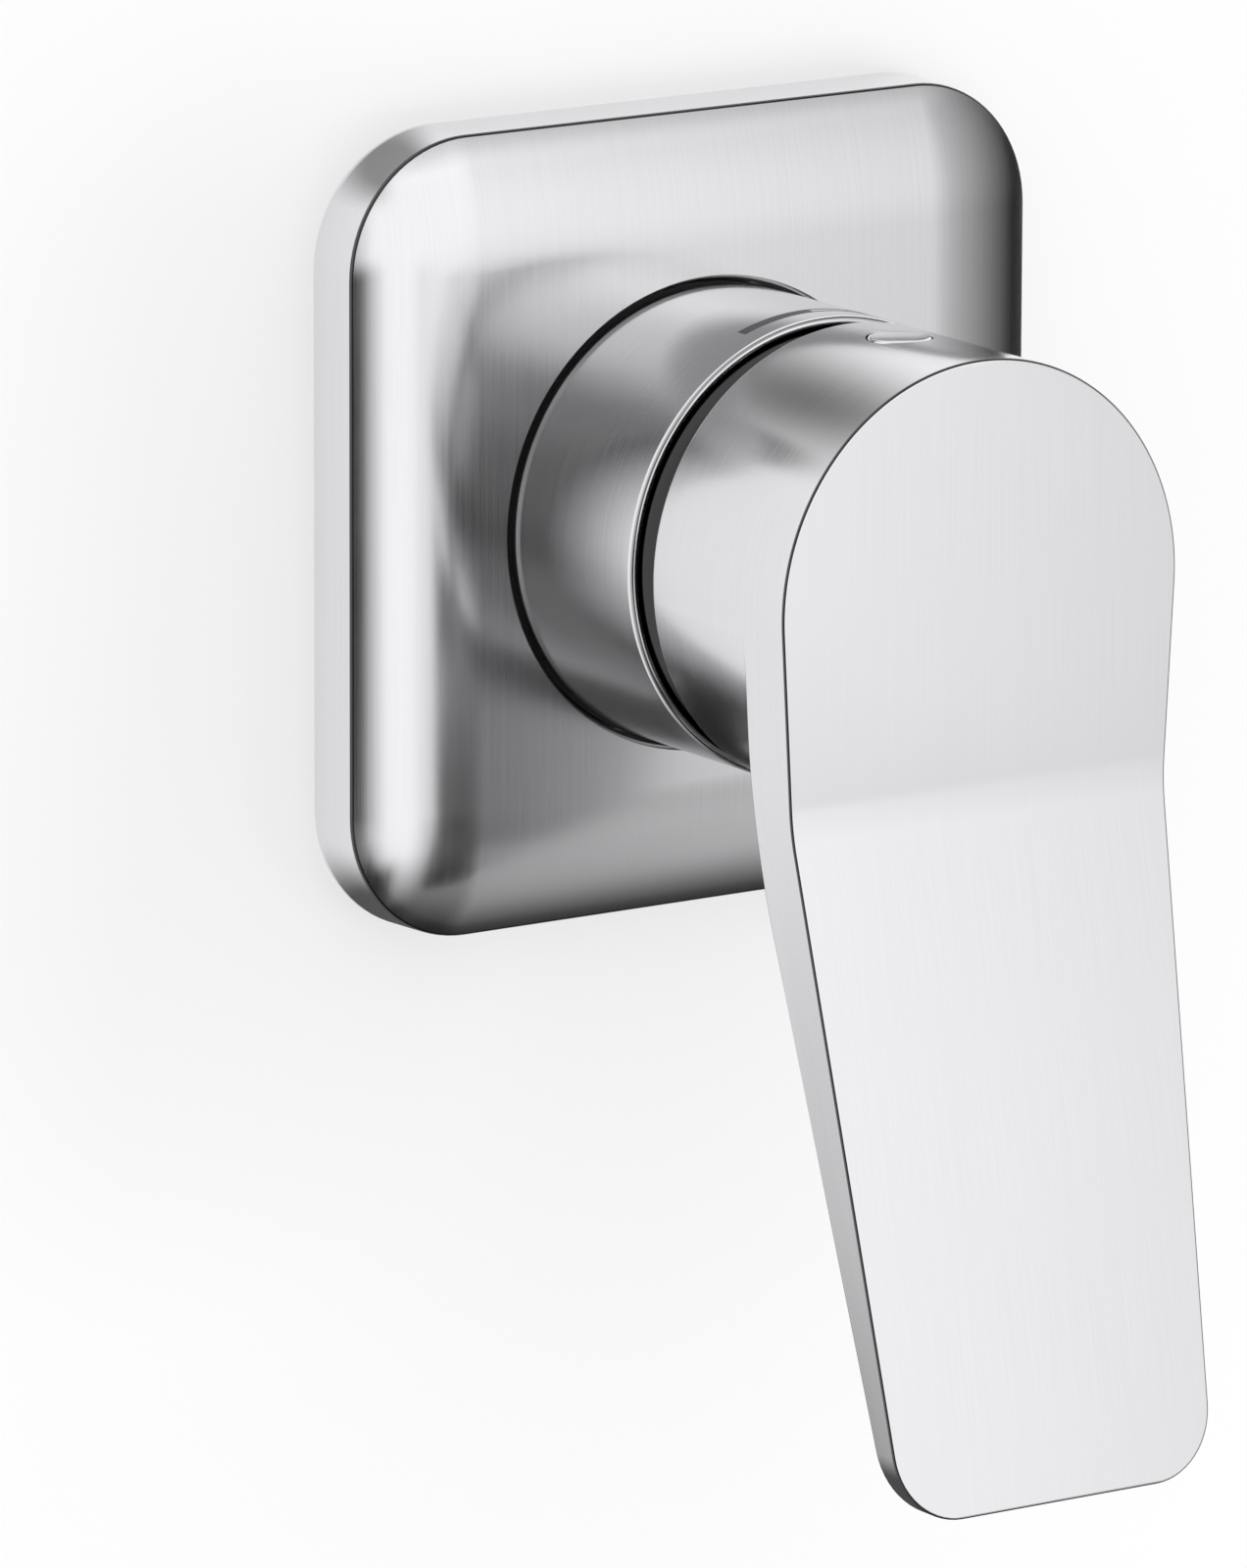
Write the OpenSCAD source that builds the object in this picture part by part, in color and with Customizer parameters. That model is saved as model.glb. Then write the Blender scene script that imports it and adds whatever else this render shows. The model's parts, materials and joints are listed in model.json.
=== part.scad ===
// Concealed single-lever mixer, millimetres. Origin: centre of the plate's back, on the wall.
// Every piece is drawn with +Z out of the wall and +Y up, then turned so that out is -Y.

/* [Wall plate] */
// Side of the square plate at its front edge
plate_side = 78; // [72:1:96]
// How much wider the plate is at the wall than at its front edge
plate_draft = 0.36; // [0:0.06:0.9]
// Radius of the plate's corners, also the width of its curved shoulders
plate_corner_r = 13; // [9:0.5:14]
// Depth of the plate's rim, from the wall to its front edge
plate_rim = 6.2; // [5.8:0.2:9]
// Rise of the curved front above the rim's edge
plate_crown = 3; // [2:0.2:4]
// Thickness of the hollow plate
plate_wall = 1.5; // [1:0.1:2]
// Radial gap between the plate's hole and the sleeve
plate_gap = 0.65; // [0.3:0.05:1.2]

/* [Plate carrier] */
// Thickness of the foam gasket on the wall
gasket_t = 1.2; // [0.8:0.1:1.6]
// Width of the foam gasket's frame
gasket_w = 7; // [4:0.5:10]
// Thickness of the carrier's square base
carrier_t = 2.4; // [1.6:0.2:2.8]
// Wall of the carrier's round collar, outside the seal
carrier_collar = 2.6; // [1.5:0.1:4]
// Radial width of the lip seal round the sleeve
plate_seal_w = 2.3; // [1.6:0.1:3]
// Height of the lip seal
plate_seal_h = 2; // [1.4:0.1:2.2]

/* [Sleeve] */
// Outer radius of the sleeve and of the lever's cap
sleeve_r = 22.5; // [22.3:0.1:24]
// Wall of the sleeve
sleeve_wall = 0.8; // [0.6:0.05:0.9]
// Distance from the wall to the sleeve's rounded front lip
sleeve_out = 29.3; // [27:0.1:36]
// Rounding of the lip's outer edge
lip_r = 0.6; // [0.3:0.05:0.6]

/* [Hot and cold marks] */
// Width of the marks along the sleeve
mark_w = 1.3; // [0.8:0.1:2]
// Angle that each mark covers, in degrees
mark_angle = 20; // [10:1:30]
// Distance from the lip back to the middle of the marks
mark_back = 3.4; // [2.5:0.1:8]
// Depth of the marks in the sleeve's wall
mark_d = 0.3; // [0.2:0.05:0.4]
// Line width of the cold mark's outline
mark_line = 0.25; // [0.15:0.05:0.35]

/* [Lever] */
// Gap between the sleeve's lip and the lever's cap
lever_gap = 3.6; // [3.4:0.1:5]
// Depth of the round cap, from its rear edge to its front face
cap_d = 21.8; // [20.8:0.2:26]
// Wall of the cap's skirt
skirt_wall = 1.7; // [1.3:0.05:1.7]
// Thickness of the cap's front wall
cap_front_wall = 4.7; // [3:0.1:5]
// Distance from the axis down to the lever's end
lever_drop = 84.7; // [60:0.5:110]
// Taper of each side of the lever, in degrees
lever_taper = 3.18; // [0:0.1:6]
// Radius of the lever's lower corners
lever_corner_r = 7; // [3:0.5:10]
// Distance from the axis down to the soft bend of the front face
front_bend_y = 20.2; // [14:0.1:26]
// Outward lean of the front face below its bend, in degrees
front_lean = 12.46; // [4:0.5:13]
// Radius of the front face's bend
front_bend_r = 20; // [5:1:40]
// Thickness of the lever where it leaves the cap
lever_t = 6.8; // [5:0.1:8]
// Distance from the axis down to the bend of the back face
back_bend_y = 21.1; // [16:0.1:28]
// Outward lean of the back face below its bend, in degrees
back_lean = 16.14; // [5:0.5:16.5]
// Radius of the back face's bend
back_bend_r = 70; // [20:1:90]

/* [Index plug and set screw] */
// Radius of the index plug in the cap's top
index_r = 3.1; // [2.8:0.1:3.6]
// Distance from the cap's rear edge to the middle of the plug and set screw
index_back = 8.1; // [7:0.1:9]
// Radius of the set screw
set_screw_r = 2.45; // [1.8:0.05:2.6]
// Width across flats of the set screw's socket
set_screw_hex = 2.5; // [1.5:0.1:2.6]

/* [Lever insert and spindle] */
// Outer radius of the insert inside the cap
insert_r = 7.8; // [7.2:0.1:8]
// Width of the square spindle
spindle_w = 8; // [6:0.2:8.4]
// Length of the spindle in front of the pivot pin
spindle_l = 27.5; // [25:0.1:28]
// Distance from the pivot pin back to the middle of the spindle's ball
ball_arm = 8.5; // [7.6:0.1:8.6]
// Radius of the ball that moves the disc
ball_r = 2.6; // [2:0.1:2.8]
// Radius of the pivot pin
pin_r = 1.6; // [1.2:0.1:1.8]

/* [Cover dome] */
// Distance from the lip back to the tilting axis, where the dome has its centre
pivot_back = 9.3; // [9:0.1:10]
// Wall of the dome
dome_wall = 1; // [0.8:0.1:1.3]
// Angle from the axis to the rim of the dome's opening, in degrees
dome_open = 46.5; // [45:0.1:48]

/* [Cartridge] */
// Outer radius of the cartridge
cart_r = 17.4; // [16.8:0.1:17.5]
// Wall of the cartridge's housing
cart_wall = 1.5; // [1.2:0.1:1.8]
// Thickness of the cartridge's base
base_t = 4; // [3:0.1:5]
// Distance from the tilting axis back to the top of the cartridge's base
base_back = 20; // [20:0.1:21]
// Thickness of the fixed ceramic disc
fixed_disc_t = 3.4; // [2.8:0.1:3.5]
// Radius of the fixed ceramic disc
fixed_disc_r = 13.8; // [13:0.1:14]
// Thickness of the moving ceramic disc
moving_disc_t = 3; // [2.4:0.1:3.1]
// Radius of the moving ceramic disc
moving_disc_r = 11.3; // [11.3:0.1:12]
// Radius of the mixing hollow in the moving disc
mixing_r = 6.3; // [5.6:0.1:6.3]
// Radius of the hot and cold ports
port_r = 2.6; // [2:0.1:2.7]
// Distance from the axis to the middle of the hot and cold ports
port_ring_r = 8.9; // [8.8:0.1:9.2]
// Radius of the central outlet port
outlet_port_r = 3.2; // [2.4:0.1:3.4]
// Radius of the rotor's neck
rotor_neck_r = 10.2; // [9.8:0.1:10.6]
// Thickness of the slippery ring between rotor and housing
friction_t = 0.7; // [0.5:0.1:0.8]
// Thickness of the housing's front wall
housing_top = 2.5; // [2:0.1:3]
// Temperature turn to each side, in degrees
turn_angle = 48; // [30:1:55]

/* [Concealed body] */
// Radius of the brass body
body_r = 24; // [23.6:0.1:28]
// Distance from the wall back to the body's rear face
body_depth = 64; // [62:1:80]
// Distance from the wall back to the middle of the inlets
inlet_depth = 32; // [30:0.5:34]
// Distance from the body's rear face to the middle of the outlets
outlet_back = 15; // [14:0.5:16]
// Distance from the axis to the face of each inlet and outlet
port_reach = 44; // [42:0.5:60]
// Radius of the round part of each inlet and outlet
boss_r = 13.5; // [12:0.1:13.5]
// Width across flats of the hexagon on each inlet and outlet
hex_w = 27; // [26:0.5:28]
// Length of the hexagon
hex_l = 9; // [6:0.5:12]
// Wall radius of the half-inch pipe threads
thread_r = 9.3; // [8:0.1:9.4]
// Length of the pipe threads
thread_l = 14; // [12:0.5:14]

/* [Inlet inserts and blanking plug] */
// Thickness of the strainers
strainer_t = 1.2; // [0.8:0.1:2]
// Radius of the strainers' recess
strainer_r = 8.8; // [7.6:0.1:8.9]
// Bore radius of the check valves' seat
valve_r = 7.1; // [6.5:0.1:7.3]
// Length of the check valves
valve_l = 14; // [11:0.5:14]
// Radius of the blanking plug's flange
plug_flange_r = 13; // [11.5:0.1:13.5]
// Thickness of the blanking plug's flange
plug_flange_t = 3; // [2:0.1:5]
// Thickness of the blanking plug's seal
plug_seal_t = 1; // [0.8:0.1:2]

/* [Mounting bracket] */
// Side of the square bracket
bracket_side = 90; // [86:1:110]
// Thickness of the bracket
bracket_t = 2.5; // [2:0.1:4]
// Distance from the bracket's edges to the middle of each fixing hole
fixing_inset = 8; // [6:0.5:10]
// Radius of the four fixing holes
fixing_r = 2.75; // [2.2:0.05:3.5]
// Distance between the two screws that hold the body
bracket_screw_pitch = 32; // [30:0.5:34]
// Radius of the bracket screws
bracket_screw_r = 2.45; // [1.9:0.05:2.6]
// Length of the bracket screws
bracket_screw_l = 11; // [8:0.5:12]

/* [Clearances] */
// Clearance between pieces that are pushed or screwed together
seat_gap = 0.1; // [0.05:0.01:0.15]
// Radial clearance of turning fits
run_gap = 0.05; // [0.03:0.01:0.08]
// Clearance of the sliding disc and of the spindle in the rotor's slot
slide_gap = 0.25; // [0.2:0.05:0.3]
// Clearance between faces that pass each other
pass_gap = 0.3; // [0.2:0.05:0.35]

/* [Hidden] */
$fn = 96;

// Reach of cutting shapes past the faces that they cut
over = 1;

// Plate: the shoulders are arcs that meet the flat middle without an edge
plate_top = plate_rim + plate_crown;
plate_flat = plate_side / 2 - plate_corner_r;
shoulder_r = (plate_corner_r ^ 2 + plate_crown ^ 2) / (2 * plate_crown);
plate_hole_r = sleeve_r + plate_gap;
plate_under = plate_top - plate_wall;

// Carrier, seal and gasket inside the plate
carrier_side = plate_side - 2 * plate_wall - 2 * pass_gap;
carrier_corner_r = plate_corner_r - plate_wall - pass_gap;
carrier_top = plate_under - seat_gap;
plate_seal_r = sleeve_r + run_gap;
plate_seal_out = plate_seal_r + plate_seal_w;
collar_in = plate_seal_out + seat_gap;
collar_out = collar_in + carrier_collar;
seal_floor = carrier_top - plate_seal_h - seat_gap;
guide_r = sleeve_r + pass_gap;

// Sleeve, dome and tilting axis along the outward axis
sleeve_in = sleeve_r - sleeve_wall;
pivot_z = sleeve_out - pivot_back;
dome_skirt_r = sleeve_in - pass_gap;
dome_r = norm([dome_skirt_r, pivot_back]);
dome_in_r = dome_r - dome_wall;
dome_skirt_wall = 0.7;
dome_bore_r = dome_skirt_r - dome_skirt_wall;
dome_bore_z = pivot_z + sqrt(dome_in_r ^ 2 - dome_bore_r ^ 2);
dome_rim_z = pivot_z + dome_r * cos(dome_open);
mark_z = sleeve_out - mark_back;
mark_r = sleeve_r - mark_d;
mark_line_angle = mark_line / sleeve_r * 180 / PI;

// Lever
cap_rear = sleeve_out + lever_gap;
cap_front = cap_rear + cap_d;
skirt_in = sleeve_r - skirt_wall;
cap_ceiling = cap_front - cap_front_wall;
lever_back = cap_front - lever_t;
corner_y = lever_corner_r - lever_drop;
corner_x = (sleeve_r - lever_corner_r + corner_y * sin(lever_taper)) / cos(lever_taper);
side_normal = [cos(lever_taper), -sin(lever_taper)];
bend_steps = 8;
index_z = cap_rear + index_back;
insert_boss_wall = 3.1;
insert_boss_d = 4;
insert_lead = 3.4;
insert_start = index_z - insert_lead;
spindle_end = pivot_z + spindle_l;

// Cartridge, measured outwards from the top of its base
base_top = pivot_z - base_back;
seat_z = base_top - base_t;
cart_in = cart_r - cart_wall;
fixed_top = base_top + fixed_disc_t;
moving_z = fixed_top + run_gap;
carrier_z = moving_z + moving_disc_t;
carrier_disc_t = 3.1;
rotor_z = carrier_z + carrier_disc_t + slide_gap;
rotor_disc_t = 5.2;
rotor_shoulder = rotor_z + rotor_disc_t;
rotor_lug = 7;
rotor_top = pivot_z + rotor_lug;
rotor_disc_r = cart_in - pass_gap;
friction_z = rotor_shoulder + run_gap;
housing_ceiling = friction_z + friction_t + run_gap;
housing_out = housing_ceiling + housing_top;
ball_z = pivot_z - ball_arm;
drive_side = 10;
drive_rise = 1.8;
drive_top = ball_z + drive_rise;
drive_bore = ball_r + pass_gap;
tilt_angle = 22;
disc_travel = ball_arm * tilt_angle * PI / 180;
disc_offset = 1.6;
port_angle = 30;
port_x = port_ring_r * sin(port_angle);
port_y = port_ring_r * cos(port_angle);
peg_x = 9;
peg_r = 1.3;
peg_l = 1.3;
locating = [10.5, 9];
locating_r = 1.5;
locating_l = 2.5;
seal_w = 1.3;
seal_t = 1.2;
key_r = 1.4;
slot_low = 6.8;
slot_high = 7.9;
slot_half = spindle_w / 2 + slide_gap;

// Nut, neck and thread of the body round the cartridge
socket_r = cart_r + 2 * seat_gap;
nut_wall = 1.4;
nut_thread_r = socket_r + nut_wall;
nut_thread_l = 5;
thread_relief = 0.7;
neck_gap = 0.8;
neck_r = sleeve_in - neck_gap;
neck_front = housing_out + nut_thread_l;
nut_head_z = neck_front + pass_gap;
nut_head_t = 3.4;
nut_floor_t = 1;
nut_hole_gap = 1.8;
nut_hole_r = rotor_neck_r + nut_hole_gap;
nut_floor = nut_head_z + nut_floor_t;
nut_top = nut_head_z + nut_head_t;
nut_head_r = dome_bore_r - seat_gap;
nut_recess_r = socket_r;
limit_ring_r = 14.9;
limit_ring_z = nut_floor + pass_gap;
limit_tab_r = nut_recess_r - pass_gap;
limit_tab_angle = 10;
stop_in = limit_ring_r + pass_gap;
stop_play = 2;
window_angle = turn_angle + limit_tab_angle + stop_play;
socket_floor_t = 10;
shoulder_z = seat_z - socket_floor_t;
oring_r = 1.1;
oring_floor = sleeve_in - run_gap - 2 * oring_r;
oring_low = 3;
oring_high = 11;
oring_places = [seat_z - oring_low, seat_z + oring_high];

// Inlets, check valves and back of the body
body_back = -body_depth;
outlet_depth = body_depth - outlet_back;
strainer_x = port_reach - thread_l - strainer_t;
valve_x = strainer_x - valve_l;
valve_body_r = valve_r - seat_gap;
valve_bore_r = 4.6;
valve_oring_r = 0.7;
valve_groove_r = valve_r - run_gap - 2 * valve_oring_r;
hex_circle_r = hex_w / 2 / cos(30);
outlet_bore_r = 6;
sieve_r = 0.8;
sieve_pitch = 2.6;
bracket_front = body_back;
bracket_back = body_back - bracket_t;
screw_head_r = 2 * bracket_screw_r;
bracket_corner_r = 8;
fixing_spacing = bracket_side - 2 * fixing_inset;

// Colours
satin = "silver";
brass = "#c8a860";
steel = "#a8adb2";
rubber = "#2b2b2d";
white_plastic = "#e8e8e4";
grey_plastic = "#5c6066";
slip_plastic = "#80714f";
limit_plastic = "#a8291a";
ceramic = "#f2f0ea";

// Turns a piece drawn with +Z out of the wall into the row's frame
module on_wall() {
    rotate([90, 0, 0]) children();
}

// Round bar along the outward axis
module bar(r, z0, z1) {
    translate([0, 0, z0]) cylinder(r = r, h = z1 - z0);
}

// Ring along the outward axis
module ring(r_out, r_in, z0, z1) {
    difference() {
        bar(r_out, z0, z1);
        bar(r_in, z0 - over, z1 + over);
    }
}

// Ring of round section, such as an O-ring
module round_ring(ring_r, section_r, z) {
    translate([0, 0, z]) rotate_extrude() translate([ring_r, 0]) circle(section_r);
}

// Wedge about the outward axis, from one angle to another
module wedge(r, from, to, z0, z1) {
    steps = 6;
    reach = r / cos((to - from) / steps / 2);
    rim = [for (k = [0:steps]) let (a = from + (to - from) * k / steps) reach * [cos(a), sin(a)]];
    translate([0, 0, z0]) linear_extrude(z1 - z0) polygon(concat([[0, 0]], rim));
}

// Square with round corners
module round_square(side, r) {
    square([side - 2 * r, side], center = true);
    square([side, side - 2 * r], center = true);
    for (sx = [-1, 1], sy = [-1, 1])
        translate([sx, sy] * (side / 2 - r)) circle(r);
}

// Half section of the plate's rim and shoulder, measured from the end of the flat middle
module plate_section(inset, z0) {
    intersection() {
        polygon([[0, z0], [plate_corner_r + plate_draft / 2 - inset, z0],
            [plate_corner_r - inset, plate_rim], [plate_corner_r - inset, plate_top], [0, plate_top]]);
        translate([0, plate_top - shoulder_r]) circle(shoulder_r - inset, $fn = 180);
    }
}

// Square form with curved shoulders and round corners
module pillow(inset, z0) {
    translate([-plate_flat, -plate_flat, z0])
        cube([2 * plate_flat, 2 * plate_flat, plate_top - inset - z0]);
    for (k = [0:3]) rotate(90 * k) {
        translate([plate_flat, plate_flat, 0])
            rotate([90, 0, 0]) linear_extrude(2 * plate_flat) plate_section(inset, z0);
        translate([plate_flat, plate_flat, 0]) rotate_extrude(angle = 90) plate_section(inset, z0);
    }
}

// Hot and cold ports and the central outlet, as bars
module ports(extra, z0, z1) {
    for (s = [-1, 1])
        translate([s * port_x, -port_y, 0]) bar(port_r + extra, z0, z1);
    bar(outlet_port_r + extra, z0, z1);
}

// Points of a bend in the lever's side profile, from above the bend to below it
function bend(y, z, r, lean) = let (t = r * tan(lean / 2))
    [for (k = [0:bend_steps]) let (a = lean * k / bend_steps) [-y + t - r * sin(a), z + r * (1 - cos(a))]];

// Front view of the lever below its cap
module lever_outline() {
    side_point = [corner_x, corner_y] + lever_corner_r * side_normal;
    half = [sleeve_r * side_normal, side_point, [corner_x, -lever_drop]];
    mirrored = [for (k = [len(half) - 1:-1:0]) [-half[k][0], half[k][1]]];
    polygon(concat(half, mirrored));
    circle(sleeve_r);
    for (s = [-1, 1]) translate([s * corner_x, corner_y]) circle(lever_corner_r);
}

// Side profile of the lever's blade
module lever_profile() {
    drop_front = cap_front + (lever_drop - front_bend_y) * tan(front_lean);
    drop_back = lever_back + (lever_drop - back_bend_y) * tan(back_lean);
    back = bend(back_bend_y, lever_back, back_bend_r, back_lean);
    reversed = [for (k = [len(back) - 1:-1:0]) back[k]];
    polygon(concat([[0, cap_front]], bend(front_bend_y, cap_front, front_bend_r, front_lean),
        [[-lever_drop, drop_front], [-lever_drop, drop_back]], reversed, [[0, lever_back]]));
}

// Boss of an inlet or outlet, along +X from the axis
module boss() {
    rotate([0, 90, 0]) {
        cylinder(r = boss_r, h = port_reach - hex_l);
        translate([0, 0, port_reach - hex_l]) rotate(30) cylinder(r = hex_circle_r, h = hex_l, $fn = 6);
    }
}

// Thread, strainer recess and valve seat of an inlet, along +X
module inlet_bore() {
    rotate([0, 90, 0]) {
        bar(thread_r, port_reach - thread_l, port_reach + over);
        bar(strainer_r, strainer_x, port_reach - thread_l + over);
        bar(valve_r, valve_x, strainer_x + over);
    }
    translate([0, -port_y, 0]) rotate([0, 90, 0]) bar(port_r, port_x, valve_x + over);
}

// Thread and passage of an outlet, along +X
module outlet_bore() {
    rotate([0, 90, 0]) {
        bar(thread_r, port_reach - thread_l, port_reach + over);
        bar(outlet_bore_r, 0, port_reach - thread_l + over);
    }
}

// Brass body that stays in the wall
module mixer_body() {
    color(brass) on_wall() difference() {
        union() {
            bar(body_r, body_back, shoulder_z);
            bar(neck_r, shoulder_z - over, neck_front);
            for (a = [0, 180]) translate([0, 0, -inlet_depth]) rotate(a) boss();
            for (a = [90, 270]) translate([0, 0, -outlet_depth]) rotate(a) boss();
        }
        bar(socket_r, seat_z, neck_front + over);
        bar(nut_thread_r, housing_out - thread_relief, neck_front + over);
        for (z = oring_places)
            ring(neck_r + over, oring_floor, z - oring_r - seat_gap, z + oring_r + seat_gap);
        for (s = [-1, 1]) translate([s * port_x, -port_y, 0])
            bar(port_r, -inlet_depth - port_r, seat_z + over);
        bar(outlet_port_r, -outlet_depth, seat_z + over);
        translate([0, 0, -inlet_depth]) inlet_bore();
        translate([0, 0, -inlet_depth]) mirror([1, 0, 0]) inlet_bore();
        for (a = [90, 270]) translate([0, 0, -outlet_depth]) rotate(a) outlet_bore();
        for (s = [-1, 1]) translate([s * locating[0], locating[1], 0])
            bar(locating_r + seat_gap, seat_z - locating_l - seat_gap, seat_z + over);
        for (s = [-1, 1]) translate([s * bracket_screw_pitch / 2, 0, 0])
            bar(bracket_screw_r + seat_gap / 2, body_back - over, bracket_back + bracket_screw_l + over);
    }
}

// Steel bracket that carries the body and is fixed in the wall
module mounting_bracket() {
    color(steel) on_wall() difference() {
        translate([0, 0, bracket_back]) linear_extrude(bracket_t)
            round_square(bracket_side, bracket_corner_r);
        for (sx = [-1, 1], sy = [-1, 1]) translate([sx, sy, 0] * fixing_spacing / 2)
            bar(fixing_r, bracket_back - over, bracket_front + over);
        for (s = [-1, 1]) translate([s * bracket_screw_pitch / 2, 0, 0]) {
            bar(bracket_screw_r + seat_gap, bracket_back - over, bracket_front + over);
            translate([0, 0, bracket_back])
                cylinder(r1 = screw_head_r + seat_gap, r2 = bracket_screw_r + seat_gap, h = bracket_screw_r);
        }
    }
}

// Two countersunk screws through the bracket
module bracket_screws() {
    hex_r = 0.7 * bracket_screw_r;
    hex_d = 1.4;
    color(steel) on_wall() for (s = [-1, 1]) translate([s * bracket_screw_pitch / 2, 0, bracket_back])
        difference() {
            union() {
                cylinder(r1 = screw_head_r, r2 = bracket_screw_r, h = bracket_screw_r);
                bar(bracket_screw_r, bracket_screw_r / 2, bracket_screw_l);
            }
            translate([0, 0, -over]) cylinder(r = hex_r, h = over + hex_d, $fn = 6);
        }
}

// Perforated strainer disc, along +X
module strainer() {
    sieve_edge = 1.6;
    rings = floor((strainer_r - sieve_edge) / sieve_pitch);
    color(steel) on_wall() translate([0, 0, -inlet_depth]) rotate([0, 90, 0]) difference() {
        bar(strainer_r - seat_gap, strainer_x, strainer_x + strainer_t);
        bar(sieve_r, strainer_x - over, strainer_x + strainer_t + over);
        for (n = [1:rings], k = [0:6 * n - 1]) rotate(360 * k / (6 * n)) translate([n * sieve_pitch, 0, 0])
            bar(sieve_r, strainer_x - over, strainer_x + strainer_t + over);
    }
}

module hot_strainer() {
    mirror([1, 0, 0]) strainer();
}

module cold_strainer() {
    strainer();
}

// Check valve: tube, spider, stem and closing disc, along +X
module check_valve() {
    web = 1.2;
    spider_l = 3;
    disc_t = 1.5;
    disc_gap = 0.6;
    disc_r = valve_bore_r - disc_gap;
    disc_x = valve_x + over;
    groove_half = valve_oring_r + seat_gap;
    color(white_plastic) on_wall() translate([0, 0, -inlet_depth]) rotate([0, 90, 0]) {
        difference() {
            bar(valve_body_r, valve_x, strainer_x);
            bar(valve_bore_r, valve_x - over, strainer_x + over);
            translate([0, 0, valve_x + valve_l / 2])
                ring(valve_body_r + over, valve_groove_r, -groove_half, groove_half);
        }
        for (a = [0, 90]) rotate(a) translate([-valve_bore_r - web / 4, -web / 2, strainer_x - spider_l])
            cube([2 * valve_bore_r + web / 2, web, spider_l]);
        bar(web, disc_x, strainer_x - spider_l / 2);
        bar(disc_r, disc_x, disc_x + disc_t);
    }
}

module hot_check_valve() {
    mirror([1, 0, 0]) check_valve();
}

module cold_check_valve() {
    check_valve();
}

// O-ring of a check valve, along +X
module valve_seal() {
    color(rubber) on_wall() translate([0, 0, -inlet_depth]) rotate([0, 90, 0])
        round_ring(valve_groove_r + valve_oring_r, valve_oring_r, valve_x + valve_l / 2);
}

module hot_valve_seal() {
    mirror([1, 0, 0]) valve_seal();
}

module cold_valve_seal() {
    valve_seal();
}

// Plug of the lower outlet, with a hexagon socket
module blanking_plug() {
    key_socket_r = 5;
    key_socket_d = 7;
    lead = 2;
    flange_x = port_reach + plug_seal_t;
    plug_end = flange_x + plug_flange_t;
    color(brass) on_wall() translate([0, 0, -outlet_depth]) rotate(270) rotate([0, 90, 0]) difference() {
        union() {
            bar(thread_r - seat_gap / 2, port_reach - thread_l + lead, flange_x + over);
            bar(plug_flange_r, flange_x, plug_end);
        }
        translate([0, 0, plug_end - key_socket_d])
            cylinder(r = key_socket_r, h = key_socket_d + over, $fn = 6);
    }
}

// Flat seal under the blanking plug's flange
module blanking_seal() {
    rim = 0.6;
    color(rubber) on_wall() translate([0, 0, -outlet_depth]) rotate(270) rotate([0, 90, 0])
        ring(plug_flange_r - rim, thread_r + seat_gap, port_reach, port_reach + plug_seal_t);
}

// Three seals in the underside of the cartridge's base
module base_seals() {
    color(rubber) on_wall() difference() {
        ports(seal_w, seat_z, seat_z + seal_t);
        ports(seat_gap, seat_z - over, seat_z + seal_t + over);
    }
}

// Base of the cartridge, with its ports, pegs and keys
module cartridge_base() {
    key_drop = 0.4;
    key_top = fixed_top - key_drop;
    color(grey_plastic) on_wall() difference() {
        union() {
            bar(cart_r, seat_z, base_top);
            for (s = [-1, 1]) {
                translate([s * locating[0], locating[1], 0])
                    bar(locating_r, seat_z - locating_l, seat_z + over);
                translate([s * fixed_disc_r, 0, 0]) bar(key_r, base_top - over, key_top);
            }
        }
        ports(0, seat_z - over, base_top + over);
        ports(seal_w + seat_gap, seat_z - over, seat_z + seal_t);
    }
}

// Ceramic disc that stays still, keyed to the base
module fixed_disc() {
    color(ceramic) on_wall() difference() {
        bar(fixed_disc_r, base_top, fixed_top);
        ports(0, base_top - over, fixed_top + over);
        for (s = [-1, 1]) translate([s * fixed_disc_r, 0, 0])
            bar(key_r + seat_gap, base_top - over, fixed_top + over);
    }
}

// Ceramic disc that the lever turns and slides
module moving_disc() {
    color(ceramic) on_wall() translate([0, disc_offset, 0]) difference() {
        bar(moving_disc_r, moving_z, carrier_z);
        bar(mixing_r, moving_z - over, moving_z + moving_disc_t / 2);
        for (s = [-1, 1]) translate([s * peg_x, 0, 0])
            bar(peg_r + seat_gap, carrier_z - peg_l - seat_gap, carrier_z + over);
    }
}

// Carrier of the moving disc, driven by the spindle's ball
module disc_carrier() {
    drive_z = carrier_z + carrier_disc_t - over;
    color(white_plastic) on_wall() difference() {
        union() {
            translate([0, disc_offset, 0]) bar(moving_disc_r, carrier_z, carrier_z + carrier_disc_t);
            for (s = [-1, 1]) translate([s * peg_x, disc_offset, 0])
                bar(peg_r, carrier_z - peg_l, carrier_z + over);
            translate([-drive_side / 2, -drive_side / 2, drive_z])
                cube([drive_side, drive_side, drive_top - drive_z]);
        }
        bar(drive_bore, ball_z - ball_r - pass_gap, drive_top + over);
    }
}

// Housing of the cartridge
module cartridge_housing() {
    color(white_plastic) on_wall() difference() {
        bar(cart_r, base_top, housing_out);
        bar(cart_in, base_top - over, housing_ceiling);
        bar(rotor_neck_r + run_gap, housing_ceiling - over, housing_out + over);
    }
}

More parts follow.
